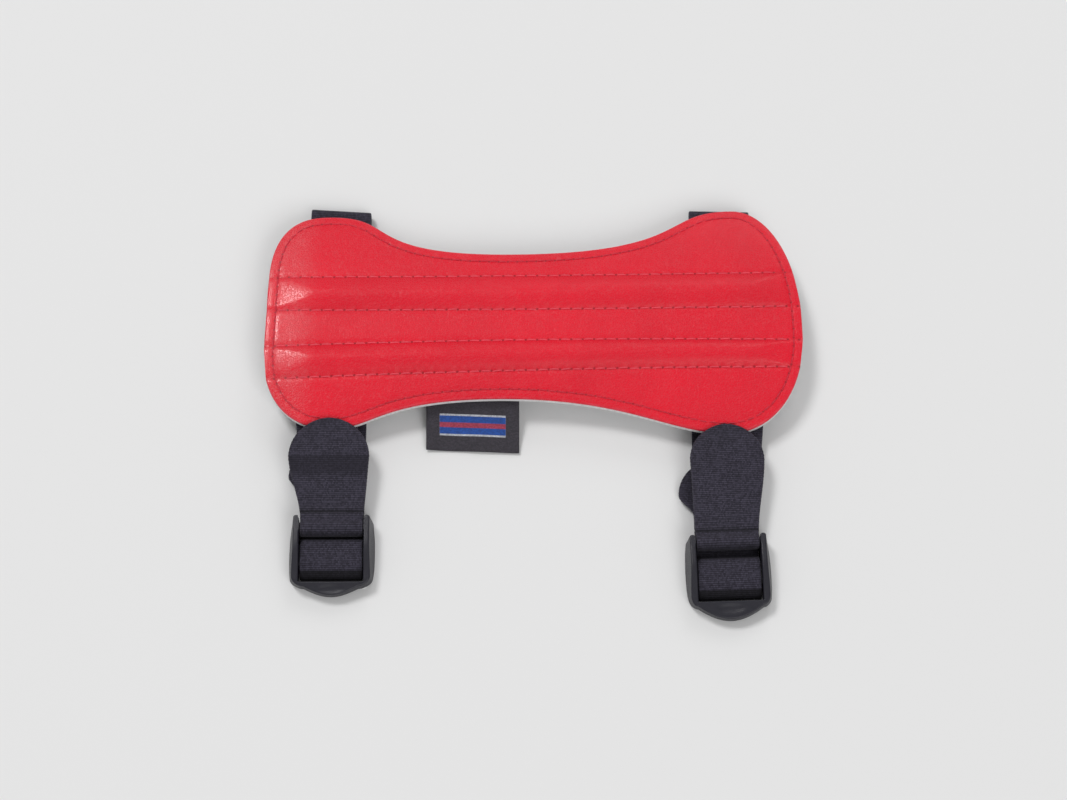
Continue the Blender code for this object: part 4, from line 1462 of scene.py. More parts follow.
@dataclass(frozen=True)
class BuckleSizes:
    """Sizes of a ladder-lock buckle. Places along it are measured from its anchor end.

    The first four are each buckle's own, because the photo shows the two at different slants.
    """

    anchor_start: float
    corner_depth: float
    lip_reach: float
    lip_power: float
    window_half: float = 10.3 * MM
    rail: float = 1.80 * MM
    draft: float = 0.70 * MM
    bulge: float = 0.95 * MM
    heel: float = 1.4 * MM
    corner: float = 3.1 * MM
    heel_corner: float = 0.7 * MM
    rail_height: float = 8.0 * MM
    end_height: float = 5.4 * MM
    anchor_radius: float = 1.1 * MM
    anchor_z: float = 5.6 * MM
    centre_start: float = 8.0 * MM
    centre_end: float = 15.9 * MM
    centre_half: float = 1.35 * MM
    centre_z: float = 2.85 * MM
    centre_rounding: float = 1.2 * MM
    centre_crown: float = 0.88
    centre_into_rail: float = 1.1 * MM
    end_start: float = 21.4 * MM
    length: float = 22.9 * MM
    slope_lead: float = 0.6 * MM
    lip_drop: float = 1.0 * MM
    dish_depth: float = 0.30 * MM
    dish_out: float = 0.9 * MM
    dish_half: float = 5.0 * MM
    dish_reach: float = 1.6 * MM
    bar_edge: float = 1.0 * MM
    rail_edge: float = 0.42 * MM
    lip_edge: float = 0.40 * MM
    crease: float = 38.0


@dataclass(frozen=True)
class SetSizes:
    """One strap set: shifts across the strap, turns seen from above, and distances from the edges."""

    shift: float
    drop: float
    turn: float
    sewn_shift: float
    pad_radius: float
    pad_shift: float
    pad_overlap: float
    tail_radius: float
    tail_shift: float
    tail_clearance: float
    fold_shift: float
    fold_turn: float
    fold_out: float
    buckle: BuckleSizes


SETS = {
    Side.LEFT: SetSizes(
        shift=0.95 * MM, drop=29.4 * MM, turn=0.2,
        sewn_shift=-2.9 * MM, pad_radius=13.0 * MM, pad_shift=-1.3 * MM, pad_overlap=2.95 * MM,
        tail_radius=12.1 * MM, tail_shift=-2.5 * MM, tail_clearance=2.6 * MM,
        fold_shift=0.4 * MM, fold_turn=-3.6, fold_out=2.2 * MM,
        buckle=BuckleSizes(
            anchor_start=2.9 * MM, corner_depth=3.4 * MM, lip_reach=2.7 * MM, lip_power=0.5
        ),
    ),
    Side.RIGHT: SetSizes(
        shift=-1.0 * MM, drop=34.4 * MM, turn=2.0,
        sewn_shift=4.5 * MM, pad_radius=11.95 * MM, pad_shift=1.35 * MM, pad_overlap=2.35 * MM,
        tail_radius=11.9 * MM, tail_shift=-2.6 * MM, tail_clearance=7.4 * MM,
        fold_shift=4.4 * MM, fold_turn=-1.3, fold_out=-0.25 * MM,
        buckle=BuckleSizes(
            anchor_start=1.0 * MM, corner_depth=1.7 * MM, lip_reach=4.2 * MM, lip_power=0.46
        ),
    ),
}


@dataclass(frozen=True)
class StrapSizes:
    """Sizes that both strap sets share. plain is the distance from the tip that the body is given."""

    width: float = 20.0 * MM
    thickness: float = 1.2 * MM
    gap: float = 0.3 * MM
    sewn_in: float = 13.0 * MM
    leg_out: float = 3.2 * MM
    pad_squeeze: float = 1.0 * MM
    tail_neck: float = 6.5 * MM
    slack: float = 2.0 * MM
    loop_low: float = 7.6 * MM
    loop_high: float = 1.5 * MM
    bar_lean: float = 76.0
    dip_lean: float = 42.0
    lower_z: float = 0.6 * MM
    tail_z: float = 2.1 * MM
    back_z: float = 3.6 * MM
    mouth_s: float = -0.6 * MM
    step: float = 0.34 * MM
    edge: float = 0.42 * MM
    plain: float = 60.0 * MM
    fray: float = 0.09 * MM
    fray_size: float = 1.1 * MM
    fray_reach: float = 26.0 * MM
    uneven: float = 0.05 * MM
    uneven_size: float = 14.0 * MM
    clear: float = 0.10 * MM
    lying_z: float = 3.8 * MM
    flat_columns: int = 12
    edge_columns: int = 5


@dataclass(frozen=True)
class PaintedSlotShade:
    """Painted shade on the straps in the buckle's slots: shares of full shade, places and fades."""

    under: float = 0.75
    under_fade: float = 1.5 * MM
    mouth_fade: float = 2.0 * MM
    loop_lead: float = 1.1 * MM
    loop_fade: float = 0.5 * MM
    crease: float = 0.9
    crease_s: float = -1.4 * MM
    crease_width: float = 0.7 * MM
    bar: float = 0.6
    bar_lead: float = 0.2 * MM
    bar_fade: float = 2.0 * MM


# Place, depth and width in millimetres of the small cross creases in front of the buckle
CROSS_CREASES = ((-1.4, 0.28, 0.6), (-3.4, 0.16, 0.55), (-5.2, 0.12, 0.5), (-7.2, 0.08, 0.6))


def arc(centre: tuple[float, float], radius: float, start: float, stop: float) -> Array:
    """Points of an arc in the side view, about centre, between two angles in degrees."""
    count = max(2, math.ceil(abs(stop - start) / 5.0) + 1)
    angle = np.radians(np.linspace(start, stop, count))
    return np.stack([centre[0] + radius * np.cos(angle), centre[1] + radius * np.sin(angle)], axis=1)


def joined(*runs: Array) -> Array:
    """Runs of a path one after another, without doubled points."""
    path = np.concatenate([np.atleast_2d(np.asarray(run, float)) for run in runs])
    keep = np.concatenate([[True], np.linalg.norm(np.diff(path, axis=0), axis=1) > 0.02 * MM])
    return path[keep]


class StrapSet:
    """Plan frame of one strap set: its origin is the middle of the buckle's anchor end."""

    def __init__(self, side: Side, shape: PanelShape) -> None:
        """Finds the set's places on the panel.

        Args:
            side: Which set.
            shape: The panel.
        """
        self.side = side
        self.shape = shape
        self.sizes = SETS[side]
        self.strap = StrapSizes()
        self.buckle = self.sizes.buckle
        far, near = shape.edges()
        self.x = LOBES[f"near_{side.value}"].apex[0] * shape.half[0] + self.sizes.shift
        self.near_y = shape.edge_y(near, self.x)
        self.far_y = shape.edge_y(far, LOBES[f"far_{side.value}"].apex[0] * shape.half[0])
        self.y = self.near_y - self.sizes.drop
        self.turn = math.radians(self.sizes.turn)

    def s_of(self, y: float) -> float:
        """Distance down the set's centre line of a place y in the panel's plan."""
        return (self.y - y) / math.cos(self.turn)

    def place(self, across: Array, s: Array, z: Array) -> Array:
        """Points of the guard's frame from ones across and along the set."""
        cos, sin = math.cos(self.turn), math.sin(self.turn)
        x = self.x + across * cos + s * sin
        y = self.y + across * sin - s * cos
        return self.shape.world(np.stack([x, y, z], axis=-1))

    def drift(self, s: Array, far_s: float, amount: float, start_s: float | None = None) -> Array:
        """A shift or turn that grows smoothly to amount at far_s, from the mouth or from start_s."""
        start = self.strap.mouth_s if start_s is None else start_s
        return amount * smooth_step((s - start) / (far_s - start))

    def sewn_z(self, y: Array) -> Array:
        """Height of a strap's middle where it is sewn under the panel."""
        return self.shape.under_side(y) - 0.05 * MM - self.strap.thickness / 2

    def round_half(self, left: Array, radius: float, neck: float) -> Array:
        """Half width of a round-ended strap.

        Args:
            left: Distance from its tip.
            radius: Radius of the round end.
            neck: Length over which the width narrows to the strap's own.

        Returns:
            A half circle's width, which narrows to the strap's own half width along the neck.
        """
        left = np.maximum(left, 0)
        inside = radius**2 - (radius - np.minimum(left, radius)) ** 2
        share = np.clip((left - radius) / neck, 0, 1)
        narrowed = (smooth_step(share) + share) / 2
        return np.sqrt(np.maximum(inside, 0)) + (self.strap.width / 2 - radius) * narrowed


@dataclass
class Ribbon:
    """A strap's path: side view, half width, shift, turn and distance from its tip.

    round_end marks the points of its round end, shade is the painted shade that darkens it in the
    buckle's slots, and smooth is 1 if it has a worn band.
    """

    path: Array
    half: Array
    shift: Array
    turn: Array
    from_end: Array
    round_end: Array
    shade: Array
    smooth: float


class Straps:
    """The long strap and the tab strap of one set."""

    def __init__(self, line: StrapSet) -> None:
        """Works on this set."""
        self.line = line
        self.sizes = line.sizes
        self.strap = line.strap
        self.buckle = line.buckle
        # The painted shade that darkens the straps in the buckle's slots
        self.dark = PaintedSlotShade()

    def widened(
        self, body: Array, end_run: Array, radius: float, neck: float
    ) -> tuple[Array, Array, Array, Array]:
        """The whole path in small even steps, smaller still at the tip, with its widths.

        Args:
            body: The path up to the round end's neck.
            end_run: The rest, whose last point is the tip.
            radius: Radius of the round end.
            neck: Length over which the width narrows to the strap's own.

        Returns:
            The points, and for each of them whether it belongs to the round end, the half width
            and the distance from the tip.
        """
        path = np.concatenate([body, end_run])
        along = lengths_along(path)
        close = radius * (1 - np.cos(np.radians(np.arange(1.0, 17.0, 1.25))))
        start = np.linspace(0, along[-1] - close[-1], int(along[-1] / self.strap.step))
        at = np.concatenate([start[:-1], along[-1] - close[::-1], along[-1:]])
        fine = np.stack([np.interp(at, along, path[:, k]) for k in range(2)], axis=1)
        soft = fine.copy()
        for _ in range(3):
            soft[1:-1] = (soft[:-2] + 2 * soft[1:-1] + soft[2:]) / 4
        soft[-len(close) - 3 :] = fine[-len(close) - 3 :]
        round_end = at > along[len(body) - 1]
        from_tip = soft[:, 0] - end_run[-1, 0]
        half = np.where(round_end, self.line.round_half(from_tip, radius, neck), self.strap.width / 2)
        return soft, round_end, half, np.where(round_end, from_tip, self.strap.plain)

    def long_ribbon(self) -> Ribbon:
        """Path of the long strap: sewn end, fold, run on the table, over the centre bar, tail.

        Returns:
            The ribbon, whose tip is the tail's.
        """
        line, strap, buckle = self.line, self.strap, self.buckle
        wrap = buckle.centre_half + strap.gap / 2 + strap.thickness / 2
        sewn_y = line.far_y - strap.sewn_in
        fold_y = line.far_y + self.sizes.fold_out
        fold_s = line.s_of(fold_y)
        leave_y = min(line.far_y, fold_y - strap.thickness)
        sewn = [(line.s_of(y), line.sewn_z(y)) for y in np.linspace(sewn_y, leave_y, 12)]
        radius = (line.sewn_z(min(line.far_y, fold_y)) - strap.lower_z) / 2
        fold = arc((fold_s, strap.lower_z + radius), radius, 90, 270)
        near_s = buckle.centre_end - buckle.centre_half
        far_s = buckle.centre_start + buckle.centre_half
        lower = np.linspace((fold_s, strap.lower_z), (near_s + strap.slack, strap.lower_z), 60)
        start = np.array([near_s + strap.slack, strap.lower_z])
        stop = np.array([near_s, buckle.centre_z + wrap])
        low, high = start + [strap.loop_low, 0], stop + [strap.loop_high, 0]
        up = bezier(start, low, high, stop, np.linspace(0, 1, 24))
        lean = math.radians(strap.bar_lean)
        down = arc((far_s, buckle.centre_z), wrap, 90, 90 + strap.bar_lean)
        ease = strap.thickness + strap.gap
        left_over = down[-1, 1] - strap.tail_z - ease * (1 - math.cos(lean))
        foot = down[-1] - [left_over / math.tan(lean), left_over]
        centre = (foot[0] - ease * math.sin(lean), strap.tail_z + ease)
        level = arc(centre, ease, strap.bar_lean - 90, -90)
        body = joined(sewn, fold, lower, up, down, level)
        tip_s = line.s_of(line.near_y - self.sizes.tail_clearance)
        end_run = np.linspace(body[-1], (tip_s, strap.tail_z), 40)[1:]
        tail_radius = self.sizes.tail_radius
        path, round_end, half, from_end = self.widened(body, end_run, tail_radius, strap.tail_neck)
        s = path[:, 0]
        lower_shift = line.drift(s, fold_s, self.sizes.fold_shift)
        round_s = tip_s + tail_radius
        tail_shift = line.drift(s, round_s, self.sizes.tail_shift, round_s + strap.tail_neck)
        turn = line.drift(s, fold_s, math.radians(self.sizes.fold_turn) - line.turn)
        shift = np.where(s > strap.mouth_s, 0, np.where(round_end, tail_shift, lower_shift))
        turn = np.where((s > strap.mouth_s) | round_end, 0, turn)
        # Painted shade: the strap is darker between the buckle's mouth and the centre bar, and in its
        # loop beyond the centre bar
        under = smooth_step((buckle.centre_start - s) / self.dark.under_fade)
        under = under * smooth_step((s - strap.mouth_s) / self.dark.mouth_fade)
        loop = smooth_step((s - buckle.centre_end - self.dark.loop_lead) / self.dark.loop_fade)
        shade = np.maximum(self.dark.under * under, loop)
        return Ribbon(path, half, shift, turn, from_end, round_end, shade, 0.0)

    def tab_ribbon(self) -> Ribbon:
        """Path of the tab strap: sewn end, back leg, round the anchor bar, front leg on the panel.

        Returns:
            The ribbon, whose tip is the pad's.
        """
        line, strap, buckle = self.line, self.strap, self.buckle
        wrap = buckle.anchor_radius + strap.gap + strap.thickness / 2
        sewn_y = line.near_y + strap.sewn_in
        sewn = [(line.s_of(y), line.sewn_z(y)) for y in np.linspace(sewn_y, line.near_y, 12)]
        leg_s = line.s_of(line.near_y) + strap.leg_out
        centre_s = buckle.anchor_start + buckle.anchor_radius
        back = np.linspace((leg_s, strap.back_z), (centre_s, strap.back_z), 30)
        around = arc((centre_s, buckle.anchor_z), wrap, -90, 90 + strap.dip_lean)
        lean = math.radians(strap.dip_lean)
        dip = around[-1] - [wrap * math.sin(lean), wrap * (1 - math.cos(lean))]
        level = arc((dip[0], dip[1] + wrap), wrap, strap.dip_lean - 90, -90)
        body = joined(sewn, back, around, level)
        tip_s = line.s_of(line.near_y + self.sizes.pad_overlap)
        s = np.linspace(level[-1, 0], tip_s, 60)[1:]
        end_run = np.stack([s, self.front_z(line.y - s * math.cos(line.turn), level[-1])], axis=1)
        radius = self.sizes.pad_radius
        neck = strap.pad_squeeze - tip_s - radius
        path, round_end, half, from_end = self.widened(body, end_run, radius, neck)
        s = path[:, 0]
        first = np.arange(len(s)) < np.argmax(s)
        back_shift = line.drift(s, line.s_of(sewn_y), self.sizes.sewn_shift)
        pad_shift = line.drift(s, tip_s + radius, self.sizes.pad_shift)
        back_turn = line.drift(s, line.s_of(sewn_y), -line.turn)
        shift = np.where(s > strap.mouth_s, 0, np.where(first, back_shift, pad_shift))
        turn = np.where((s < strap.mouth_s) & first, back_turn, 0)
        path[:, 1] -= np.where(round_end, self.creases(s), 0)
        smooth = 1.0 if line.side is Side.LEFT else 0.0
        # Painted shade: a dark line at the crease in front of the buckle, and darker where the strap
        # wraps round the anchor bar
        crease = self.dark.crease * bell(s - self.dark.crease_s, self.dark.crease_width)
        round_bar = smooth_step((s - centre_s - self.dark.bar_lead) / self.dark.bar_fade)
        shade = np.maximum(crease, self.dark.bar * round_bar)
        return Ribbon(path, half, shift, turn, from_end, round_end, shade, smooth)

    def front_z(self, y: Array, dip: Array) -> Array:
        """Height of the front leg's middle at y: up from the dip, then on the panel's face.

        Args:
            y: Places in the panel's plan.
            dip: The leg's lowest point, along and up.

        Returns:
            Heights: a smooth step up to the panel's edge, then the panel's arch.
        """
        line, strap = self.line, self.strap
        top = line.shape.face_z + line.shape.face_thickness + strap.clear + strap.thickness / 2
        dip_y = line.y - dip[0]
        edge = line.near_y - strap.thickness
        at_edge = top + line.shape.arch(np.array(line.near_y))
        climb = smooth_step((y - dip_y) / (edge - dip_y))
        return np.where(y > edge, top + line.shape.arch(y), dip[1] + (at_edge - dip[1]) * climb)

    @staticmethod
    def creases(s: Array) -> Array:
        """Depth of the small cross creases in front of the buckle: four bell curves."""
        depth = np.zeros_like(s)
        for place, deep, wide in CROSS_CREASES:
            depth += deep * MM * bell(s / MM - place, wide)
        return depth

    def section(self, half: Array) -> tuple[Array, Array]:
        """Cross-section of a strap: two flats joined by rounded edges.

        Args:
            half: Half width at each point of the path.

        Returns:
            Offsets across and through the strap, points of the path by points of the section.
        """
        strap = self.strap
        edge = np.minimum(strap.edge, half)[:, None]
        flat = half[:, None] - edge
        across = np.linspace(-1, 1, strap.flat_columns + 1)[None]
        angle = np.linspace(90, -90, strap.edge_columns + 2)[1:-1]
        cos, sin = np.cos(np.radians(angle))[None], np.sin(np.radians(angle))[None]
        thick = strap.thickness / 2
        level = thick + 0 * (across + flat)
        side, deep = flat + edge * cos, thick * sin + 0 * flat
        sideways = np.concatenate([flat * across, side, flat * across[:, ::-1], -side], axis=1)
        through = np.concatenate([level, deep, -level, -deep], axis=1)
        return sideways, through

    def sweep(self, ribbon: Ribbon, seed: int) -> tuple[Array, list, dict[str, Array]]:
        """Carries the cross-section along a ribbon's path.

        Args:
            ribbon: The path and its widths.
            seed: Seed of the unevenness.

        Returns:
            Points, faces and patterns. A point is the path's centre, plus its offset across the
            strap, plus its offset along the normal, which is the tangent crossed with the across
            direction.
        """
        line, strap = self.line, self.strap
        along = lengths_along(ribbon.path)
        ragged = strap.fray * ripple(along[:, None], strap.fray_size, seed)
        frayed = np.where(ribbon.from_end < strap.fray_reach, ragged, 0.25 * ragged)
        half = np.maximum(ribbon.half + frayed * smooth_step(ribbon.half / (3 * MM)), 0.02 * MM)
        centre = line.place(ribbon.shift, ribbon.path[:, 0], ribbon.path[:, 1])
        heading = ribbon.turn + line.turn
        across = np.stack([np.cos(heading), np.sin(heading), 0 * heading], axis=1)
        ahead = np.gradient(centre, axis=0)
        normal = np.cross(ahead, across)
        normal /= np.linalg.norm(normal, axis=1)[:, None]
        sideways, through = self.section(half)
        points = centre[:, None] + across[:, None] * sideways[..., None]
        places = np.column_stack([along, 0 * along])
        uneven = strap.uneven * ripple(places, strap.uneven_size, seed + 1) * ribbon.round_end
        through = through + uneven[:, None]
        points = points + normal[:, None] * through[..., None]
        points[..., 2] += self.lay_on(points, centre)
        points = points.reshape(-1, 3)
        rest = np.zeros_like(sideways)
        patterns = {
            "cloth": np.stack([sideways, along[:, None] + rest, ribbon.from_end[:, None] + rest], -1),
            "edge": np.stack([rest, half[:, None] - np.abs(sideways), rest], -1),
        }
        scaled = {label: values.reshape(-1, 3) / MM for label, values in patterns.items()}
        # The worn pattern holds the painted slot shade first and the worn-band flag second
        worn = np.stack([ribbon.shade[:, None] + rest, ribbon.smooth + rest, rest], -1)
        scaled["worn"] = worn.reshape(-1, 3)
        return points, capped(points, *sideways.shape), scaled

    def lay_on(self, points: Array, centre: Array) -> Array:
        """Height correction of points off the centre line where the strap lies on the arched panel.

        Args:
            points: The strap's points.
            centre: The middle of each section.

        Returns:
            How much the arch differs between a point and its section's middle.
        """
        line = self.line
        y = points[..., 1] - line.shape.shift_y
        middle = centre[:, None, 1] - line.shape.shift_y
        high = centre[:, None, 2] > self.strap.lying_z
        on_panel = (middle > line.near_y) & (middle < line.far_y) & high
        return np.where(on_panel, line.shape.arch(y) - line.shape.arch(middle), 0)

    def build(self, finish: Material) -> list[Object]:
        """Builds both straps.

        Args:
            finish: The elastic's material.

        Returns:
            The long strap and the tab strap.
        """
        side = self.line.side.value
        made = []
        straps = (("long_strap", self.long_ribbon(), 21), ("tab_strap", self.tab_ribbon(), 41))
        for name, ribbon, seed in straps:
            points, faces, patterns = self.sweep(ribbon, seed + len(side))
            piece = new_piece(f"{name}_{side}_elastic", points, faces, finish, patterns)
            made.append(piece)
        return made


# Buckle


class Buckle:
    """A ladder-lock buckle: a ring of rails, anchor bar, end bar and thumb lip, with a centre bar."""

    def __init__(self, line: StrapSet) -> None:
        """Works on this set's buckle."""
        self.line = line
        self.sizes = line.buckle

    def outer_half(self, s: Array) -> Array:
        """Half width of the frame's top at s, with the corners at its lip end rounded."""
        size = self.sizes
        into = np.clip((s - (size.length - size.corner)) / size.corner, 0, 1)
        return size.window_half + size.rail - size.corner_depth * (1 - np.sqrt(1 - into**2))

    def top(self, x: Array, s: Array) -> Array:
        """Height of the upper side.

        Args:
            x: Places across the buckle.
            s: Places along it.

        Returns:
            A smooth fall from the rails' height to the end bar's, then from just before the end bar
            a slope down to the lip's tip, less an oval dish whose depth is a smooth step of its
            ellipse.
        """
        size = self.sizes
        fall = smooth_step((s - size.centre_start) / (size.length - size.centre_start))
        body = size.rail_height + (size.end_height - size.rail_height) * fall
        crest = size.end_start - size.slope_lead
        slope = np.clip((s - crest) / (size.length + size.lip_reach - crest), 0, 1)
        dish_s = size.length + size.dish_out
        ball = 1 - (x / size.dish_half) ** 2 - ((s - dish_s) / size.dish_reach) ** 2
        return body - size.lip_drop * slope**0.9 - size.dish_depth * smooth_step(ball)

    def foot(self, s: Array) -> Array:
        """Height of the underside at s: flat on the table, then up under the end bar and lip."""
        size = self.sizes
        return size.heel * smooth_step((s - size.centre_end) / (size.length - size.centre_end))

    def half_loop(self) -> tuple[Array, Array, Array, Array]:
        """The right half of the ring, from the middle of the anchor bar to the lip's middle.

        Returns:
            Inner points, outer points, the share of anchor bar and the edge radius at each station.
        """
        size = self.sizes
        window, first_s = size.window_half, size.anchor_start
        start = first_s + 2 * size.anchor_radius
        joint = [window - 0.3 * MM, window - 0.12 * MM]
        x = np.concatenate([np.linspace(0, window - 0.6 * MM, 9), joint])
        bar_in, bar_out = np.stack([x, 0 * x + start], 1), np.stack([x, 0 * x + first_s], 1)
        bar_share = np.concatenate([np.ones(9), [0.93, 0.72]])
        wide = float(self.outer_half(np.array(0.0)))
        bend = np.radians(np.linspace(-90, 0, 6))
        radius = size.heel_corner
        corner = np.stack([wide - radius + radius * np.cos(bend), radius + radius * np.sin(bend)], 1)
        anchor_out = np.concatenate([[[window, first_s / 2], [window + 0.5 * MM, 0]], corner])
        anchor_in = np.repeat([[window, start]], len(anchor_out), axis=0)
        s = np.linspace(start, size.end_start, 26)
        rail_in, rail_out = np.stack([0 * s + window, s], 1), np.stack([self.outer_half(s), s], 1)
        straight = size.length - size.corner
        first = math.degrees(math.asin((size.end_start - straight) / size.corner))
        angle = np.radians(np.linspace(first, 90, 9)[1:])
        turn_s = straight + size.corner * np.sin(angle)
        turn_x = window + size.rail - size.corner_depth * (1 - np.cos(angle))
        share = np.linspace(0, 1, len(angle) + 1)[1:]
        inner_x = min(turn_x[-1], window - MM)
        turn_in = np.stack([window + (inner_x - window) * share, 0 * share + size.end_start], 1)
        turn_out = np.stack([turn_x, turn_s], 1)
        lip_x = turn_x[-1] * (1 - np.linspace(0, 1, 25)[1:])
        bell = ((1 + np.cos(math.pi * lip_x / turn_x[-1])) / 2) ** size.lip_power
        lip_in = np.stack([lip_x * inner_x / turn_x[-1], 0 * lip_x + size.end_start], 1)
        lip_out = np.stack([lip_x, size.length + size.lip_reach * bell], 1)
        inner = np.concatenate([bar_in, anchor_in, rail_in[1:], turn_in, lip_in])
        outer = np.concatenate([bar_out, anchor_out, rail_out[1:], turn_out, lip_out])
        bar = np.concatenate([bar_share, np.zeros(len(inner) - len(bar_share))])
        rounding = np.where(bar > 0.5, size.bar_edge, size.rail_edge)
        rounding[-len(lip_x) - len(angle) :] = size.lip_edge
        return inner, outer, bar, rounding

    @staticmethod
    def unit_section(flats: int = 7) -> tuple[Array, Array, Array, Array]:
        """A square with rounded corners, in parts that let the rounding change.

        Args:
            flats: Points inside each side.

        Returns:
            Corner-centre and rounding parts, first across and then up. A point is the first
            part times one less the rounding, plus the second part times the rounding. Each
            quarter is the one before it turned by 90 degrees.
        """
        side = np.linspace(-1, 1, flats + 2)[1:-1]
        angle = np.radians(np.linspace(0, 90, 5))
        corner = np.stack([1 + 0 * angle, np.cos(angle), 1 + 0 * angle, np.sin(angle)])
        flat = np.stack([-side, 0 * side, 1 + 0 * side, 1 + 0 * side])
        quarters = [np.concatenate([corner, flat], axis=1)]
        for _ in range(3):
            centre_x, round_x, centre_z, round_z = quarters[-1]
            quarters.append(np.stack([-centre_z, -round_z, centre_x, round_x]))
        centre_x, round_x, centre_z, round_z = np.concatenate(quarters, axis=1)
        return centre_x, round_x, centre_z, round_z

    def ring(self) -> tuple[Array, Array]:
        """The closed ring of the frame.

        Returns:
            Points and quads. Each station's rounded-square section spans from its inner to its
            outer point and from the underside to the upper side, and flares outwards downwards.
        """
        size = self.sizes
        inner, outer, bar, rounding = self.half_loop()
        mirror = np.array([-1.0, 1.0])
        inner, outer = (np.concatenate([half, half[-2:0:-1] * mirror]) for half in (inner, outer))
        bar, rounding = (np.concatenate([half, half[-2:0:-1]]) for half in (bar, rounding))
        centre_x, round_x, centre_z, round_z = self.unit_section()
        middle, reach = (inner + outer) / 2, (outer - inner) / 2
        half = np.linalg.norm(reach, axis=1)
        tall = (self.top(middle[:, 0], middle[:, 1]) - self.foot(middle[:, 1])) / 2
        tall = tall + (size.anchor_radius - tall) * bar
        ease_x = np.minimum(0.9, rounding / half)[:, None]
        ease_z = np.minimum(0.9, rounding / tall)[:, None]
        out = (1 - ease_x) * centre_x + ease_x * round_x
        up = (1 - ease_z) * centre_z + ease_z * round_z
        plan = middle[:, None] + reach[:, None] * out[..., None]
        high = self.top(plan[..., 0], plan[..., 1])
        low = self.foot(plan[..., 1])
        share = bar[:, None]
        high = high + (size.anchor_z + size.anchor_radius - high) * share
        low = low + (size.anchor_z - size.anchor_radius - low) * share
        z = (high + low) / 2 + (high - low) / 2 * up
        belly = np.sqrt(np.sin(math.pi * np.clip(plan[..., 1] / size.length, 0, 0.9999)))
        flare = (size.draft + size.bulge * belly) * np.clip(1 - z / size.rail_height, 0, 1)
        edge = np.clip((np.abs(plan[..., 0]) - size.window_half) / size.rail, 0, 1)
        x = plan[..., 0] + np.sign(plan[..., 0]) * flare * edge
        points = np.stack([x, plan[..., 1], z], axis=-1).reshape(-1, 3)
        faces = grid_quads(len(inner), len(centre_x), wrap=True, wrap_rows=True)
        return points, facing_out(points, faces)

    def centre_bar(self) -> tuple[Array, list]:
        """The flat bar across the window, with its long edges rounded and its ends in the rails.

        Returns:
            Points and faces of the closed bar.
        """
        size = self.sizes
        centre_x, round_x, centre_z, round_z = self.unit_section(flats=3)
        half_s = (size.centre_end - size.centre_start) / 2
        ease_s = size.centre_rounding / half_s
        ease_z = size.centre_crown
        middle_s = (size.centre_start + size.centre_end) / 2
        s = middle_s + half_s * ((1 - ease_s) * centre_x + ease_s * round_x)
        z = size.centre_z + size.centre_half * ((1 - ease_z) * centre_z + ease_z * round_z)
        x = np.linspace(-1, 1, 5)[:, None] * (size.window_half + size.centre_into_rail)
        points = np.stack([x + 0 * s, s + 0 * x, z + 0 * x], axis=-1).reshape(-1, 3)
        return points, capped(points, len(x), len(s))

    def build(self, finish: Material) -> Object:
        """Builds the buckle.

        Args:
            finish: The plastic's material.

        Returns:
            One closed piece: the ring and the centre bar joined.
        """
        name = f"buckle_{self.line.side.value}_moulding"
        ring_points, ring_faces = self.ring()
        bar_points, bar_faces = self.centre_bar()
        crease = self.sizes.crease
        made = new_piece(name, self.to_guard(ring_points), ring_faces, finish, crease=crease)
        bar = new_piece(name + "_bar", self.to_guard(bar_points), bar_faces, finish)
        step = made.modifiers.new("centre bar", "BOOLEAN")
        step.operation = "UNION"
        step.solver = "EXACT"
        step.object = bar
        bpy.context.view_layer.update()
        evaluated = made.evaluated_get(bpy.context.evaluated_depsgraph_get())
        joined_mesh = bpy.data.meshes.new_from_object(evaluated)
        made.modifiers.clear()
        made.data = joined_mesh
        bpy.data.objects.remove(bar)
        made.data.shade_smooth()
        made.data.set_sharp_from_angle(angle=math.radians(crease))
        even = made.modifiers.new("even shading", "WEIGHTED_NORMAL")
        even.keep_sharp = True
        even.weight = 100
        return made

    def to_guard(self, points: Array) -> Array:
        """Buckle points in the guard's frame: the buckle's length runs down the set's line."""
        return self.line.place(-points[:, 0], points[:, 1], points[:, 2])


# Label


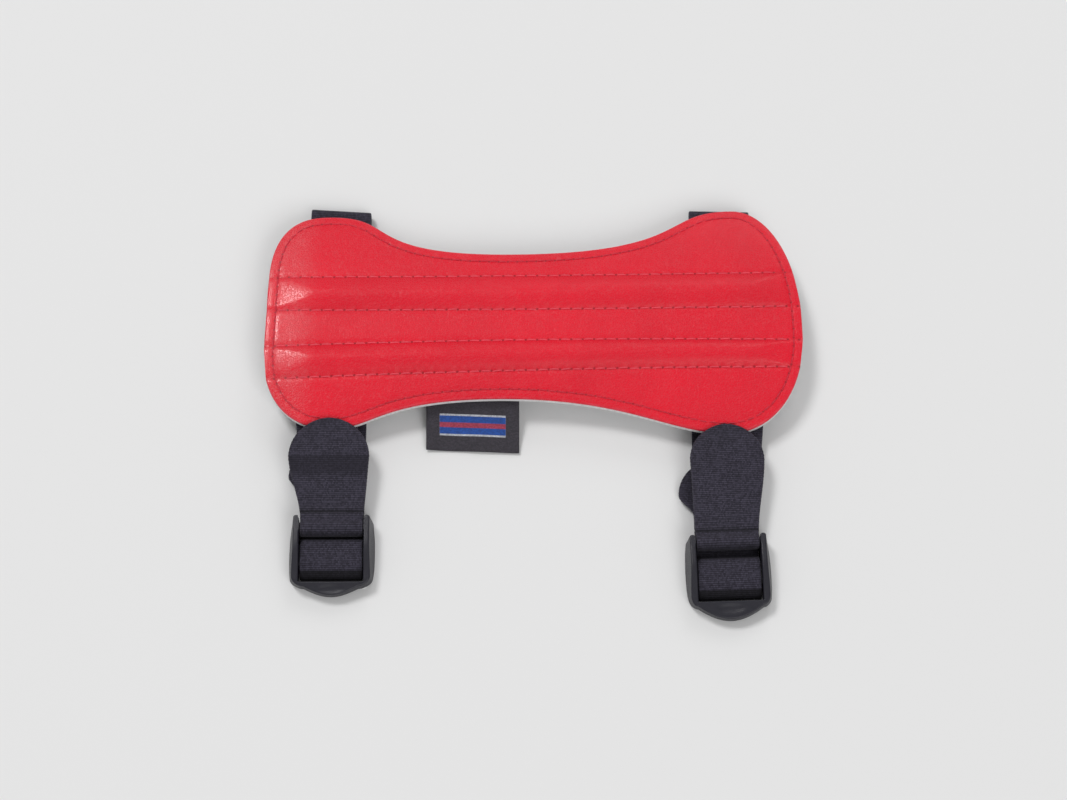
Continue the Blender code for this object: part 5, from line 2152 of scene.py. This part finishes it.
@dataclass(frozen=True)
class Tag:
    """The woven tag under the near edge at the waist."""

    shape: PanelShape
    width: float = 30.2 * MM
    thickness: float = 0.9 * MM
    drop: float = 15.7 * MM
    sewn_in: float = 4.0 * MM
    turn: float = -2.3
    place_x: float = -0.225
    fall_power: float = 1.3
    under: float = 0.3 * MM
    rim_radius: float = 0.3 * MM
    wave: float = 0.18 * MM
    waves: float = 1.3
    wave_phase: float = 0.6
    corner_lift: float = 0.35 * MM
    sewn_rows: int = 8
    columns: int = 90
    rows: int = 64

    def build(self, finish: Material) -> Object:
        """Builds the tag.

        Args:
            finish: Its material.

        Returns:
            The piece: a sheet that leaves the panel and falls to the table, with a faint wave and
            corners that lift a little.
        """
        shape = self.shape
        x0 = self.place_x * shape.half[0]
        edge = shape.edge_y(shape.edges()[1], x0)
        half = 0.5 * MM
        top_y = edge + self.sewn_in
        level = shape.under_side(np.array([top_y, edge])) - self.under - half
        fall = level[1] - half
        reach = math.sqrt(self.drop**2 - fall**2)
        out = np.linspace(0, 1, self.rows - self.sewn_rows)
        sewn_y, sewn_z = (np.linspace(*run, self.sewn_rows + 1)[:-1] for run in ((top_y, edge), level))
        y = np.concatenate([sewn_y, edge - reach * out])
        z = np.concatenate([sewn_z, half + fall * (1 - out) ** self.fall_power])
        down = lengths_along(np.stack([y, z], axis=1))
        across = np.linspace(-0.5, 0.5, self.columns) * self.width
        turn = math.radians(self.turn)
        free = smooth_step((down - self.sewn_in) / self.drop)[:, None]
        phase = across / self.width * 2 * math.pi * self.waves + self.wave_phase
        wave = self.wave * (1 + np.sin(phase)) * free
        lift = self.corner_lift * np.abs(across / self.width * 2) ** 4 * free**2
        grid = np.stack(
            [
                x0 + across * math.cos(turn) + 0 * y[:, None],
                y[:, None] + across * math.sin(turn),
                z[:, None] + wave + lift,
            ],
            axis=-1,
        )
        rim_x = self.width / 2 - np.abs(across)
        rim_y = np.minimum(down, down[-1] - down)
        rim = np.minimum(rim_x[None], rim_y[:, None])
        thick = self.thickness / 2 - rim_drop(rim, self.rim_radius) * 0.9
        up = np.stack([0 * rim, 0 * rim, thick], axis=-1)
        points, faces = slab((grid - up)[::-1], (grid + up)[::-1])
        pattern = np.stack([across + 0 * rim, down[:, None] - self.sewn_in + 0 * rim, rim], axis=-1)
        flat = pattern[::-1].reshape(-1, 3) / MM
        cloth = {"cloth": np.concatenate([flat, flat])}
        made = new_piece("label_tag", shape.world(points), faces, finish, cloth)
        return made


# Studio


@dataclass(frozen=True)
class Studio:
    """Pale floor, soft light and the camera."""

    look_at_y: float = -24.0 * MM
    distance: float = 872.0 * MM
    elevation: float = 68.0
    lens: float = 90.0
    sensor: float = 36.0
    floor_grey: float = 0.80
    ambient: float = 0.35
    key_power: float = 68.0
    fill_power: float = 60.0
    back_power: float = 18.0

    def build(self, shape: PanelShape) -> None:
        """Builds the floor, the lights and the camera.

        Args:
            shape: The panel, whose plan the camera's aim is measured in.
        """
        self.floor()
        self.world()
        self.area_light("key", (-1.50, 1.62, 3.40), 1.10, self.key_power)
        self.area_light("fill", (1.35, -2.75, 2.75), 2.20, self.fill_power)
        self.area_light("back", (0.90, 3.10, 2.00), 1.50, self.back_power)
        self.camera(shape)

    def floor(self) -> None:
        """A wide pale floor just under the guard."""
        points = np.array([[-4, -4, 0], [4, -4, 0], [4, 4, 0], [-4, 4, 0]], float)
        points[:, 2] = -0.02 * MM
        made, bench, shader = new_finish("pale_floor")
        grey = (self.floor_grey,) * 3 + (1.0,)
        bench.dress(shader, {"Base Color": grey, "Roughness": 0.9, "Specular IOR Level": 0.1})
        new_piece("floor", points, [(0, 1, 2, 3)], made)

    def world(self) -> None:
        """Even light from all round."""
        world = bpy.data.worlds.new("studio")
        world.use_nodes = True
        background = world.node_tree.nodes["Background"]
        background.inputs["Color"].default_value = (1.0, 1.0, 1.0, 1.0)
        background.inputs["Strength"].default_value = self.ambient
        bpy.context.scene.world = world
        bpy.context.scene.view_settings.view_transform = "Standard"

    @staticmethod
    def area_light(name: str, place: tuple[float, float, float], size: float, power: float) -> None:
        """A square soft light that faces the guard.

        Args:
            name: Its name.
            place: Its place in metres.
            size: Its side in metres.
            power: Its power in watts.
        """
        light = bpy.data.lights.new(name, "AREA")
        light.shape, light.size, light.energy = "SQUARE", size, power
        made = bpy.data.objects.new(name, light)
        made.location = place
        made.rotation_euler = (-Vector(place)).to_track_quat("-Z", "Y").to_euler()
        bpy.context.scene.collection.objects.link(made)

    def camera(self, shape: PanelShape) -> None:
        """The camera, which looks at a point on the table from the near side.

        Args:
            shape: The panel, whose plan its aim is measured in.
        """
        data = bpy.data.cameras.new("camera")
        data.lens, data.sensor_width, data.sensor_fit = self.lens, self.sensor, "HORIZONTAL"
        data.clip_start, data.clip_end = 0.05, 20.0
        made = bpy.data.objects.new("camera", data)
        angle = math.radians(self.elevation)
        aim = self.look_at_y + shape.shift_y
        made.location = (0, aim - self.distance * math.cos(angle), self.distance * math.sin(angle))
        made.rotation_euler = (math.pi / 2 - angle, 0, 0)
        bpy.context.scene.collection.objects.link(made)
        bpy.context.scene.camera = made


def main() -> None:
    """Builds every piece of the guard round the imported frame."""
    logging.basicConfig(level=logging.INFO, format="%(message)s")
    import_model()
    far_edge = LOBES["far_right"].apex[1] * PanelShape(0.0).half[1]
    shape = PanelShape(shift_y=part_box("panel_face")[1].y - far_edge)
    finishes = Finishes()

    face = PanelFace(shape).build(finishes.leather)
    hand_over(face, ("panel_face",))
    backing = PanelBacking(shape).build(finishes.lining)
    hand_over(backing, ("panel_backing",))
    stitches = Stitches(shape)
    hand_over(stitches.build_seams(finishes.thread))
    hand_over(stitches.build_edge(finishes.edge_thread))

    for side in Side:
        line = StrapSet(side, shape)
        long_strap, tab_strap = Straps(line).build(finishes.elastic)
        hand_over(long_strap, (f"long_strap_{side.value}",))
        hand_over(tab_strap, (f"tab_strap_{side.value}",))
        hand_over(Buckle(line).build(finishes.plastic), (f"buckle_{side.value}",))

    hand_over(Tag(shape).build(finishes.tag), ("label",))
    Studio().build(shape)


if __name__ == "__main__":
    main()
